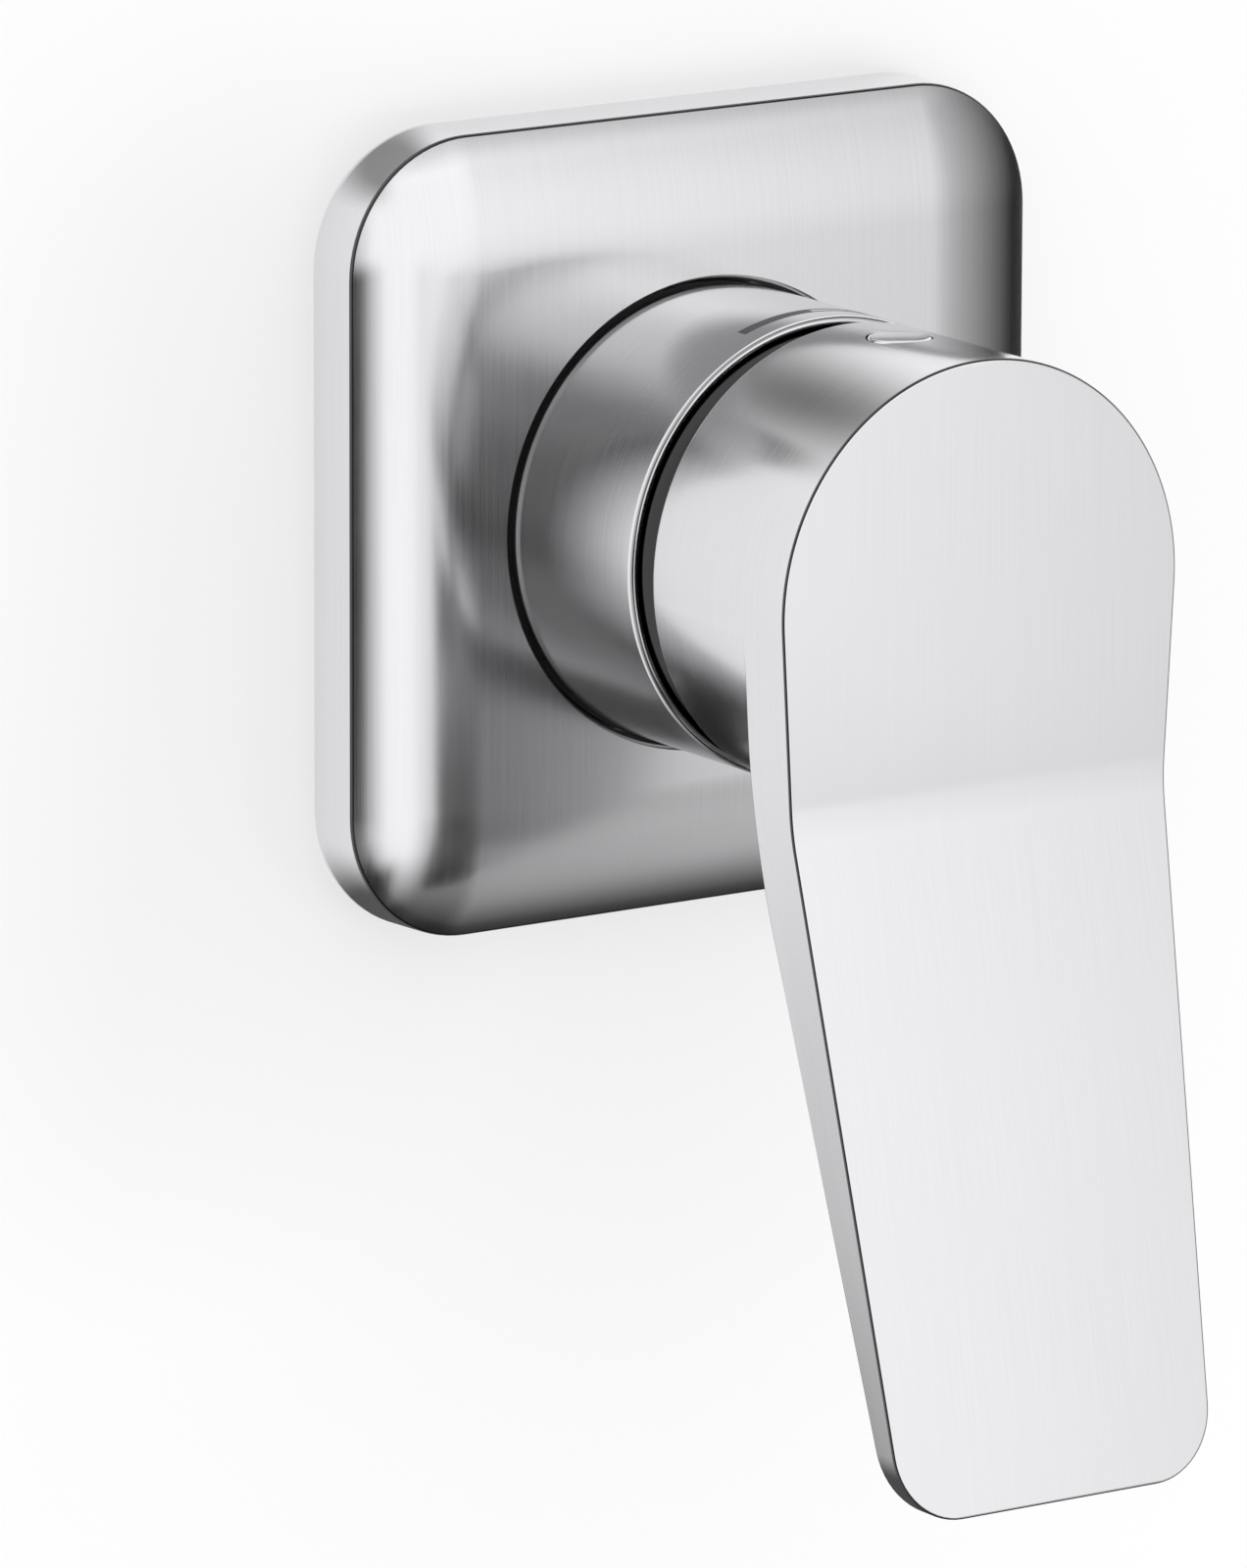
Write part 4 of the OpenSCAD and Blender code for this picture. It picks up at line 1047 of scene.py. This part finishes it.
def build_lever(bm, sizes):
    """Fills a bmesh with the lever's surface."""
    stations, last_cap, foot = lever_stations(sizes), CAP_STEPS, CAP_STEPS + FOOT_STEPS
    cap_front = CAP_REAR + mm(sizes.cap_d)
    flat_back = cap_front - mm(sizes.blade_t)
    edge = mm(sizes.edge_r)

    def front(v):
        return bent(v, cap_front, mm(sizes.front_bend), mm(sizes.front_bend_r), sizes.front_lean)

    def back(v):
        return bent(v, flat_back, mm(sizes.back_bend), mm(sizes.back_bend_r), sizes.back_lean)

    def both_sides(points, shared=0):
        left = [(-x, v, out) for x, v, out in points[:0:-1]][shared:]
        return [bm.verts.new(at(*point)) for point in points + left]

    def back_edge(number, spot):
        if number <= last_cap:
            return 0
        return edge if number >= foot else min(edge, (spot.x - on_cap(spot.y)) / 2)

    def ring(turn, face, way, edge_of):
        points = []
        for number, (spot, away) in enumerate(stations):
            size = edge_of(number, spot)
            inset, drop = size * (1 - math.cos(turn)), size * (1 - math.sin(turn))
            place = spot - inset * away
            points.append((max(place.x, 0), place.y, face(place.y) + way * drop))
        return both_sides(points)

    turns = [math.pi / 2 * k / ROUND_STEPS for k in range(ROUND_STEPS + 1)]
    rings = [ring(turn, front, -1, lambda number, spot: edge) for turn in reversed(turns)]
    rings += [ring(turn, back, 1, back_edge) for turn in turns]
    for one, other in zip(rings, rings[1:]):
        strip(bm, one, other)
    face, rear, count = rings[0], rings[-1], len(stations)
    bm.faces.new((face[0], face[1], face[-1]))
    for k in range(2, count):
        bm.faces.new((face[k - 1], face[k], face[-k], face[1 - k]))

    arc = [spot for spot, away in stations[:last_cap + 1]]
    arc += [Vector((on_cap(spot.y), spot.y)) for spot, away in stations[last_cap + 1:foot + 1]]
    arc_back = [(p.x, p.y, back(p.y)) for p in arc]
    wall_top = both_sides(arc_back, shared=1)
    for k in range(last_cap + 1, foot + 1):
        bm.faces.new((rear[k - 1], rear[k], wall_top[k], wall_top[k - 1]))
        bm.faces.new((rear[-k], rear[1 - k], wall_top[1 - k], wall_top[-k]))
    for k in range(foot + 1, count):
        ends = [rear[k - 1], rear[k], rear[-k], rear[1 - k]]
        bm.faces.new(ends + [wall_top[foot]] if k == foot + 1 else ends)

    ceiling = cap_front - mm(sizes.front_wall)
    skirt, boss, bore = SLEEVE_R - mm(sizes.skirt_wall), mm(sizes.boss_r), mm(sizes.bore_r)
    boss_end = ceiling - mm(sizes.boss_d)
    section = rounded(
        [(SLEEVE_R, ceiling), (SLEEVE_R, CAP_REAR), (skirt, CAP_REAR), (skirt, ceiling), (boss, ceiling),
         (boss, boss_end), (bore, boss_end), (bore, ceiling), (0, ceiling)],
        [0, edge, edge, *HOLLOW_RADII, 0, 0])[1:]
    last = wall_top
    directions = [spot.normalized() for spot in arc]
    directions += [Vector((-d.x, d.y)) for d in directions[-2:0:-1]]
    for radius, out in section:
        row = [bm.verts.new(at(radius * d.x, radius * d.y, out)) for d in directions]
        strip(bm, last, row)
        last = row


def carve(piece, cutters):
    """Cuts one or more cutters, which don't touch each other, out of a piece."""
    cutter = cutters[0]
    closed(opened(*[tool.data for tool in cutters]), cutter.data)
    cut = piece.modifiers.new("Cut", "BOOLEAN")
    cut.operation, cut.solver, cut.object = "DIFFERENCE", "EXACT", cutter
    piece.modifiers.remove(piece.modifiers["Face weight"])
    mesh = applied(piece)
    piece.modifiers.remove(cut)
    for tool in cutters:
        bpy.data.objects.remove(tool)
    piece.data = mesh
    smooth(piece)


class MIXER_OT_index_plug(bpy.types.Operator):
    """Makes the small disc that closes the set screw's hole"""
    bl_idname = "mixer.index_plug"
    bl_label = "Index plug"

    def execute(self, context):
        sizes = context.scene.mixer_lever
        radius = side_of("index_plug", 0, 1)
        low, high = side_of("index_plug", 2, 0), side_of("index_plug", 2, 1)
        corners = [(0, low), (radius, low), (radius, high), (0, high)]
        section = rounded(corners, [0, 0, mm(sizes.plug_edge), 0])
        piece = turned("index_disc", section, lying(UP, CAP_REAR + mm(sizes.plug_back)), SMALL_STEPS)
        brush(piece, lambda place, normal: (place.x, place.z, place.y))
        finished(piece, "lever_arm", "satin_trim", chrome("Fine chrome"), "index_plug")
        return {"FINISHED"}


def middle_of(node):
    """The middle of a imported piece."""
    low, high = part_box(node)
    return (low + high) / 2


def finish_of(node, paints):
    """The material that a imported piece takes, from its slot and its own axis."""
    turned_pieces = {
        "retaining_nut": ("Brass, nut", paints.brass, Vector(), OUT),
        "spindle": ("Brass, spindle", paints.brass, Vector(), OUT),
        "lever_insert": ("Brass, insert", paints.brass, Vector(), OUT),
        "blanking_plug": ("Brass, plug", paints.brass, middle_of("blanking_plug"), UP),
        "hot_strainer": ("Stainless sieve", paints.steel, middle_of("hot_strainer"), RIGHT),
        "cold_strainer": ("Stainless sieve", paints.steel, middle_of("hot_strainer"), RIGHT),
        "pivot_pin": ("Stainless pin", paints.steel, middle_of("pivot_pin"), RIGHT),
        "set_screw": ("Stainless screw", paints.steel, middle_of("set_screw"), UP),
    }
    if node in turned_pieces:
        name, *options = turned_pieces[node]
        return look(name, machined, *options)
    kinds = {
        "zinc_steel": ("Zinc plate", zinc, paints.zinc),
        "white_plastic": ("White plastic", moulded, paints.white_plastic, 0.36),
        "grey_plastic": ("Grey plastic", moulded, paints.grey_plastic, 0.48),
        "slip_plastic": ("Slip plastic", moulded, paints.slip_plastic, 0.42),
        "limit_plastic": ("Red plastic", moulded, paints.limit_plastic, 0.38),
        "disc_ceramic": ("Lapped ceramic", lapped, paints.ceramic),
        "seal_rubber": ("Seal rubber", rubber, paints.rubber),
        "gasket_foam": ("Gasket foam", foamed, paints.foam),
    }
    return look(*kinds[SLOT_OF[node]])


def whole_faces(mesh):
    """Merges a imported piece's loose triangles and joins those of one flat face."""
    bm = opened(mesh)
    bmesh.ops.remove_doubles(bm, verts=bm.verts, dist=SAME_PLACE)
    bmesh.ops.dissolve_limit(bm, angle_limit=FLAT_ANGLE, verts=bm.verts, edges=bm.edges)
    return closed(bm, mesh)


def ease(piece, width):
    """Rounds a piece's sharp edges a little."""
    edges = piece.modifiers.new("Eased edges", "BEVEL")
    edges.width, edges.segments = width * MM, 2
    edges.limit_method, edges.angle_limit = "ANGLE", SHARP_ANGLE
    edges.use_clamp_overlap = True
    piece.modifiers.move(len(piece.modifiers) - 1, 0)
    return piece


def copied(node, name):
    """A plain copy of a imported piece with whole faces."""
    return show(name, whole_faces(frame["nodes"][node].data.copy()))


# How far the body's bright neck lies inside the sleeve, and how far the hexagons' cutters reach past them
# sideways and outwards, in millimetres
NECK_INSET, CUTTER_WIDTH, CUTTER_DEPTH = 0.9, 4, 1
# How much shorter than the threads their bores are, and the rounding of the body's edges, in millimetres
THREAD_END, BODY_EDGE = 1, 0.3
# Steps round a turn of a thread, and how late it starts and how early it ends, in pitches
THREAD_STEPS, THREAD_LATE, THREAD_EARLY = 64, 0.15, 0.2


class MIXER_OT_body(bpy.types.Operator):
    """Makes the cast body with chamfered hexagons and cut pipe threads"""
    bl_idname = "mixer.body"
    bl_label = "Concealed body"

    def execute(self, context):
        sizes, paints = context.scene.mixer_body, context.scene.mixer_finish
        inlet_out, outlet_out = [-middle_of(node).y / MM for node in ("hot_strainer", "blanking_plug")]
        ways = {"hot_thread": (-RIGHT, inlet_out), "cold_thread": (RIGHT, inlet_out)}
        ways["outlet_thread"] = (UP, outlet_out)
        root, lead, pitch = mm(sizes.root_r), mm(sizes.lead_in), mm(sizes.pitch)
        reach, start = PORT_REACH, PORT_REACH - mm(sizes.thread_l) + THREAD_END
        mouth = reach + lead
        bore = [(0, start), (root, start), (root, reach - lead), (root + 2 * lead, mouth), (0, mouth)]
        cutters = [turned("cutter", bore, lying(way, out), SMALL_STEPS) for way, out in ways.values()]
        face_r, wide = mm(sizes.hex_face_r), mm(sizes.hex_face_r) + CUTTER_WIDTH
        drop, past = (wide - face_r) * math.tan(sizes.chamfer), reach + CUTTER_DEPTH
        collar = [(face_r, reach), (face_r, past), (wide, past), (wide, reach - drop)]
        for way, out in (*ways.values(), (-UP, outlet_out)):
            cutters.append(turned("cutter", collar, lying(way, out), SMALL_STEPS))
        piece = copied("mixer_body", "cast_body")
        carve(piece, cutters)
        whole_faces(piece.data)
        ease(piece, BODY_EDGE)
        metal = look("Cast brass", cast, paints.brass, (reach - mm(sizes.hex_l)) * MM,
                     (SLEEVE_R - NECK_INSET) * MM, at(0, 0, inlet_out), at(0, 0, outlet_out))
        finished(piece, "mixer", "body_brass", metal, "mixer_body")
        inputs = {
            "Root radius": sizes.root_r, "Depth": sizes.root_r - sizes.crest_r, "Pitch": sizes.pitch,
            "Turns": (reach - lead - start) / pitch - THREAD_EARLY, "Steps": THREAD_STEPS, "Finish": metal}
        for name, (way, out) in ways.items():
            place = lying(way, out) @ Matrix.Translation((0, 0, (start + THREAD_LATE * pitch) * MM))
            finished(from_nodes(name, pipe_thread, inputs, place), "mixer", "body_brass", metal)
        return {"FINISHED"}


# A thread's tooth: half its width at the foot and at the top in pitches, how deep its foot is sunk in depths
TOOTH_FOOT, TOOTH_TOP, TOOTH_SUNK = 0.46, 0.07, -0.05


def pipe_thread(name):
    """Geometry nodes that wind a thread's ridge in a bore: a flat-topped tooth swept along a helix."""
    wires, into, out = new_shape(name, {
        "Root radius": 0.0105, "Depth": 0.0012, "Pitch": 0.0018, "Turns": 6.0, "Steps": THREAD_STEPS})
    helix = wires.first("GeometryNodeCurveSpiral", {
        "Resolution": into["Steps"], "Rotations": into["Turns"], "Start Radius": into["Root radius"],
        "End Radius": into["Root radius"], "Height": wires.times(into["Pitch"], into["Turns"])})
    upright = wires.first("GeometryNodeSetCurveNormal", {"Curve": helix}, mode="Z_UP")
    foot, top = wires.times(into["Pitch"], TOOTH_FOOT), wires.times(into["Pitch"], TOOTH_TOP)
    sunk, proud = wires.times(into["Depth"], TOOTH_SUNK), into["Depth"]
    corners = [(sunk, foot, -1), (sunk, foot, 1), (proud, top, 1), (proud, top, -1)]
    section = wires.four_cornered([(across, wires.times(half, side)) for across, half, side in corners])
    ridge = {"Curve": upright, "Profile Curve": section, "Fill Caps": True}
    return shaped(wires, into, out, wires.first("GeometryNodeCurveToMesh", ridge))


# Rings of holes in a strainer, steps round a hole, and rounding of the strainers' edges in millimetres
SIEVE_RINGS, HOLE_STEPS, SIEVE_EDGE = 2, 24, 0.06


def perforated_disc(name):
    """Geometry nodes that drill rings of holes through a disc, six more in each ring than in the last."""
    wires, into, out = new_shape(name, {
        "Radius": 0.0087, "Thickness": 0.0012, "Pitch": 0.0026, "Hole radius": 0.0008})

    def cylinder(steps, radius, depth):
        return wires.first("GeometryNodeMeshCylinder", {"Vertices": steps, "Radius": radius, "Depth": depth})

    drill = cylinder(HOLE_STEPS, into["Hole radius"], wires.times(into["Thickness"], 2.0))
    rings = [wires.first("GeometryNodeMeshLine", {"Count": 1})]
    for number in range(1, SIEVE_RINGS + 1):
        radius = wires.times(into["Pitch"], float(number))
        rings.append(wires.first("GeometryNodeMeshCircle", {"Vertices": 6 * number, "Radius": radius}))
    holes = wires.add("GeometryNodeJoinGeometry")
    for ring in rings:
        spread = wires.first("GeometryNodeInstanceOnPoints", {"Points": ring, "Instance": drill})
        wires.feed(holes.inputs[0], spread)
    real = wires.first("GeometryNodeRealizeInstances", {0: holes.outputs[0]})
    disc = cylinder(SMALL_STEPS, into["Radius"], into["Thickness"])
    sieve = wires.first("GeometryNodeMeshBoolean", {"Mesh 1": disc, "Mesh 2": real}, operation="DIFFERENCE")
    return shaped(wires, into, out, sieve)


class MIXER_OT_strainers(bpy.types.Operator):
    """Makes the two perforated strainers in the inlets"""
    bl_idname = "mixer.strainers"
    bl_label = "Strainers"

    def execute(self, context):
        sizes = context.scene.mixer_body
        for node in ("hot_strainer", "cold_strainer"):
            low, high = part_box(node)
            steel = finish_of(node, context.scene.mixer_finish)
            inputs = {
                "Radius": (high.z - low.z) / 2, "Thickness": high.x - low.x, "Pitch": sizes.sieve_pitch,
                "Hole radius": sizes.sieve_r, "Finish": steel}
            place = Matrix.Translation(middle_of(node)) @ lying(RIGHT)
            piece = from_nodes(node.replace("strainer", "sieve"), perforated_disc, inputs, place)
            finished(ease(piece, SIEVE_EDGE), "mixer", "stainless", steel, node)
        return {"FINISHED"}


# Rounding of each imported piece's edges, in millimetres
EDGES = {
    "mounting_bracket": 0.25, "bracket_screws": 0.12, "blanking_plug": 0.3, "plate_carrier": 0.25,
    "retaining_nut": 0.2, "cartridge_base": 0.2, "cartridge_housing": 0.25, "limit_ring": 0.15, "rotor": 0.2,
    "disc_carrier": 0.15, "spindle": 0.2, "lever_insert": 0.2, "hot_check_valve": 0.15,
    "cold_check_valve": 0.15, "set_screw": 0.1, "pivot_pin": 0.15, "fixed_disc": 0.1, "moving_disc": 0.1,
    "blanking_seal": 0.12, "plate_seal": 0.2,
}


class MIXER_OT_eased(bpy.types.Operator):
    """Copies the pieces behind the trim with their edges rounded"""
    bl_idname = "mixer.eased"
    bl_label = "Eased pieces"

    def execute(self, context):
        for node, width in EDGES.items():
            piece = ease(copied(node, node + "_eased"), width)
            finished(piece, BODY_OF[node], SLOT_OF[node], finish_of(node, context.scene.mixer_finish), node)
        return {"FINISHED"}


class MIXER_OT_finishes(bpy.types.Operator):
    """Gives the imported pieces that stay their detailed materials"""
    bl_idname = "mixer.finishes"
    bl_label = "Finishes"

    def execute(self, context):
        for node, piece in frame["nodes"].items():
            if piece.hide_render:
                continue
            for slot in piece.material_slots:
                slot.material = finish_of(node, context.scene.mixer_finish)
        return {"FINISHED"}


# The wall lies this far behind the plate, and is open up to this far inside the plate's edge, in millimetres
WALL_GAP = 0.2
OPENING_INSET = 0.5


class MIXER_OT_stage(bpy.types.Operator):
    """Makes the camera, the wall, the floor and the light"""
    bl_idname = "mixer.stage"
    bl_label = "Stage"

    def execute(self, context):
        scene, stage, sizes = context.scene, context.scene.mixer_stage, context.scene.mixer_plate
        scene.view_settings.view_transform = "Standard"
        make_camera(scene)
        half, drop = stage.half_size, stage.floor_drop
        paint = backdrop_paint(stage)
        rim = plate_row(sizes, mm(sizes.corner_r) - OPENING_INSET, -WALL_GAP)
        stage_sheet("wall", [rim, [wall_edge(point, half, drop) for point in rim]], paint, OUT)
        rows = [[Vector((x, y, -drop)) for x in (-half, half)] for y in (WALL_GAP * MM, -stage.floor_depth)]
        stage_sheet("floor", rows, paint, UP)
        make_light_dome(stage)
        make_key(stage)
        make_world(scene, stage)
        return {"FINISHED"}


CAMERA_PLACE = Vector((-734.276, -1089.770, 270.359)) * MM
CAMERA_YAW, CAMERA_PITCH, CAMERA_ROLL = math.radians(33.841), math.radians(12.814), math.radians(0.179)
CAMERA_LENS = 318.0
CAMERA_CLIP = (0.05, 20)
# Colour of the light and of the backdrop
PALE = (1, 0.99, 1, 1)


def make_camera(scene):
    """The camera at the photograph's place, with its long lens."""
    camera = bpy.data.cameras.new("Camera")
    camera.lens = CAMERA_LENS
    camera.clip_start, camera.clip_end = CAMERA_CLIP
    view = placed("Camera", camera)
    turn = Matrix.Rotation(-CAMERA_YAW, 4, "Z") @ Matrix.Rotation(math.pi / 2 - CAMERA_PITCH, 4, "X")
    view.matrix_world = Matrix.Translation(CAMERA_PLACE) @ turn @ Matrix.Rotation(CAMERA_ROLL, 4, "Z")
    scene.camera = view


def wall_edge(point, half, drop):
    """The place on the wall's outer edge in the same direction as a point near the plate."""
    place = point * half / max(abs(point.x), abs(point.z))
    place.z *= drop / half if place.z < 0 else 1
    place.y = point.y
    return place


def stage_sheet(name, rows, paint, facing):
    """A flat sheet of the stage between two rows of points, a ring or a strip."""
    bm = bmesh.new()
    one, other = [[bm.verts.new(point) for point in row] for row in rows]
    strip(bm, one, other, closed_ring=len(one) > 2)
    for face in bm.faces:
        face.normal_update()
        if face.normal.dot(facing) < 0:
            face.normal_flip()
    sheet = placed(name, closed(bm, bpy.data.meshes.new(name)))
    sheet.data.materials.append(paint)


# Direction of the lamp that casts the shadow: azimuth to the right of the wall's outward axis, and elevation
KEY_AIM = (math.radians(43), math.radians(-18))


def make_key(stage):
    """A soft lamp below right that casts the shadow on the wall and doesn't show in the chrome."""
    azimuth, elevation = KEY_AIM
    lamp = bpy.data.lights.new("Key", "AREA")
    lamp.energy, lamp.size = stage.key_power, stage.key_size
    side, ahead = math.sin(azimuth) * math.cos(elevation), math.cos(azimuth) * math.cos(elevation)
    aim = Vector((side, -ahead, math.sin(elevation)))
    holder = placed("Key", lamp)
    holder.matrix_world = Matrix.Translation(aim * stage.key_distance) @ lying(aim)
    holder.visible_glossy = False


def bare_material(name):
    """A new material without nodes, and its wiring."""
    paint = bpy.data.materials.new(name)
    paint.use_nodes = True
    paint.node_tree.nodes.clear()
    return paint, Wiring(paint.node_tree)


def backdrop_paint(stage):
    """Plain pale paint that shows white, takes the soft shadow, darkens for glossy rays in painted patches of
    shade and can't be seen from behind.
    """
    paint, wires = bare_material("Pale paint")
    rays = wires.add("ShaderNodeLightPath").outputs
    # Painted shade: glossy rays see the wall darker in the patches listed below
    shade = wires.less(1.0, shade_on_wall(wires, rays["Ray Length"]))
    left = wires.less(1.0, wires.times(rays["Is Glossy Ray"], shade))
    diffuse = wires.first("ShaderNodeBsdfDiffuse", {"Color": wires.times(stage.paint, left)})
    mirrored = wires.times(rays["Is Glossy Ray"], left)
    seen = wires.math("MAXIMUM", rays["Is Camera Ray"], mirrored)
    seen = wires.math("MAXIMUM", seen, rays["Is Transmission Ray"])
    glow = wires.first("ShaderNodeEmission", {"Color": PALE, "Strength": wires.times(seen, stage.glow)})
    both = wires.first("ShaderNodeAddShader", {0: diffuse, 1: glow})
    clear = wires.first("ShaderNodeBsdfTransparent")
    behind = wires.add("ShaderNodeNewGeometry").outputs["Backfacing"]
    mixed = wires.first("ShaderNodeMixShader", {0: behind, 1: both, 2: clear})
    wires.add("ShaderNodeOutputMaterial", {"Surface": mixed})
    return paint


# Soft patches of painted shade on the wall, seen only in the chrome's reflections: x and v of the middle,
# dark to, bright from, share of light left in the middle, and how far away the chrome starts to see it;
# lengths in millimetres
SHADES = (
    (27, -70, 25, 65, 0.3, 12),
    (10, -180, 68, 135, 0.08, 12),
    (90, -330, 90, 150, 0.1, 12),
    (-18, -95, 12, 32, 0.15, 12),
    (-18, -44, 5, 16, 0.15, 12),
    (-13, 51, 0, 38, 0.2, 12),
    (-62, -85, 10, 60, 0.7, 12),
    (-31, -39, 5, 13, 0.12, 0.4),
    (-34, 41, 3, 9, 0.35, 0.4),
)
# The chrome sees a patch in full from this many times that distance
SHADE_FULL = 2.5


def shade_on_wall(wires, reach):
    """The share of the wall's light that chrome mirrors, less in the painted patches of shade."""
    place = wires.place()
    bright = 1.0
    for x, v, near, far, left, start in SHADES:
        away = wires.reach("DISTANCE", place, at(x, v, 0))
        patch = wires.ramp(away, near * MM, far * MM, 1.0 - left, 0.0)
        seen = wires.ramp(reach, start * MM, start * SHADE_FULL * MM)
        bright = wires.times(bright, wires.less(1.0, wires.times(patch, seen)))
    return bright


# Soft boxes and reflectors by direction, in degrees: azimuth from the wall's outward axis to the right,
# then elevation, each as dark up to, bright from, bright to, dark from; then the level
STUDIO = {
    "Soft box": ((-34, -15, 30, 46), (-6, 1, 20, 28), 0.48),
    "Spill": ((-34, -15, 42, 82), (-6, 1, 20, 28), 0.60),
    "Soft box, upper": ((-20, -4, 30, 46), (20, 28, 29, 46), 0.48),
    "Spill, upper": ((-20, -4, 42, 82), (20, 28, 29, 46), 0.60),
    "Lower left": ((-21, -10, 2, 12), (-34, -24, -6, 1), 1.08),
    "Lower left, middle": ((-16, -9, -7, -2), (-38, -31, -34, -24), 0.95),
    "Lower left, foot": ((-7, -2, 2, 12), (-52, -30, -34, -24), 1.08),
    "Left, low": ((-75, -40, -17, -12), (-38, -30, -19, -15), 0.11),
    "Soft box, lower": ((4, 12, 30, 46), (-18, -14, -6, 1), 0.48),
    "Spill, lower": ((4, 12, 42, 82), (-19, -14, -6, 1), 0.55),
    "Foot": ((2, 14, 46, 66), (-58, -28, -19, -14), 0.46),
    "Foot, right": ((36, 46, 50, 64), (-58, -38, -24, -18), 0.25),
    "Left reflector": ((-361, -360, -88, -35), (-95, -5, 10, 180), 0.88),
    "Ceiling": ((-80, -40, 50, 80), (26, 42, 100, 120), 0.33),
    "Right rear": ((90, 112, 361, 362), (-70, -10, 60, 120), 0.75),
}
# Level of the studio between them
SHADE = 0.02
DOME_DETAIL = 5


def window_of_light(name):
    """Light through a soft-edged window of directions."""
    axes, edges = ("Azimuth", "Elevation"), ("dark to", "bright from", "bright to", "dark from")
    labels = [*axes, *[f"{axis} {edge}" for axis in axes for edge in edges]]
    wires, into, out = new_group(name, {**dict.fromkeys(labels, 0.0), "Level": 1.0}, ["Light"])
    light = into["Level"]
    for axis in axes:
        for low, high in (("dark to", "bright from"), ("dark from", "bright to")):
            limits = {"From Min": into[f"{axis} {low}"], "From Max": into[f"{axis} {high}"]}
            light = wires.times(light, wires.first("ShaderNodeMapRange", {"Value": into[axis], **limits}))
    wires.feed(out["Light"], light)
    return wires.tree


def make_light_dome(stage):
    """A near dome round the mixer that carries the soft boxes and shows only in gloss."""
    light, wires = bare_material("Soft boxes")
    x, y, z = wires.parts(wires.vector("NORMALIZE", wires.place()))
    azimuth = wires.math("DEGREES", wires.math("ARCTAN2", x, wires.times(y, -1.0)))
    elevation = wires.math("DEGREES", wires.math("ARCSINE", z))
    level = SHADE
    for azimuths, elevations, bright in STUDIO.values():
        window = wires.add("ShaderNodeGroup", node_tree=group(window_of_light))
        for socket, value in zip(window.inputs, (azimuth, elevation, *azimuths, *elevations, bright)):
            wires.feed(socket, value)
        level = wires.plus(window.outputs["Light"], level)
    glow = wires.first("ShaderNodeEmission", {"Color": PALE, "Strength": wires.times(level, stage.light)})
    wires.add("ShaderNodeOutputMaterial", {"Surface": glow})
    bm = bmesh.new()
    bmesh.ops.create_icosphere(bm, subdivisions=DOME_DETAIL, radius=stage.dome_r)
    dome = placed("light_dome", closed(bm, bpy.data.meshes.new("light_dome")))
    dome.data.materials.append(light)
    dome.location = at(0, 0, LIP_OUT)
    dome.visible_camera = dome.visible_diffuse = dome.visible_shadow = False


def make_world(scene, stage):
    """Plain white beyond the dome."""
    world = bpy.data.worlds.new("Studio")
    world.use_nodes = True
    back = world.node_tree.nodes["Background"]
    back.inputs["Color"].default_value = PALE
    back.inputs["Strength"].default_value = stage.white
    scene.world = world


OPERATORS = (
    MIXER_OT_stage, MIXER_OT_wall_plate, MIXER_OT_sleeve, MIXER_OT_marks, MIXER_OT_cover_dome, MIXER_OT_lever,
    MIXER_OT_index_plug, MIXER_OT_body, MIXER_OT_strainers, MIXER_OT_eased, MIXER_OT_finishes,
)
HOLDERS = {
    "mixer_plate": PlateSizes, "mixer_lever": LeverSizes, "mixer_body": BodySizes, "mixer_finish": Finishes,
    "mixer_stage": StageLook,
}


class MIXER_PT_panel(bpy.types.Panel):
    """Lists the steps and the sizes"""
    bl_idname = "MIXER_PT_panel"
    bl_label = "Concealed mixer"
    bl_space_type = "VIEW_3D"
    bl_region_type = "UI"
    bl_category = "Mixer"

    def draw(self, context):
        for kind in OPERATORS:
            self.layout.operator(kind.bl_idname)
        for holder in [getattr(context.scene, label) for label in HOLDERS]:
            box = self.layout.box()
            for name in holder.bl_rna.properties.keys():
                if name not in ("rna_type", "name"):
                    box.prop(holder, name)


CLASSES = (*HOLDERS.values(), *OPERATORS, MIXER_PT_panel)


def register():
    """Registers the classes and hangs the properties on the scene."""
    for kind in CLASSES:
        bpy.utils.register_class(kind)
    for label, kind in HOLDERS.items():
        setattr(bpy.types.Scene, label, bpy.props.PointerProperty(type=kind))


def unregister():
    """Takes the properties and the classes away again."""
    for label in HOLDERS:
        delattr(bpy.types.Scene, label)
    for kind in reversed(CLASSES):
        bpy.utils.unregister_class(kind)


def main():
    """Registers the add-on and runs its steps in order."""
    register()
    for kind in OPERATORS:
        category, name = kind.bl_idname.split(".")
        getattr(getattr(bpy.ops, category), name)()


if __name__ == "__main__":
    main()
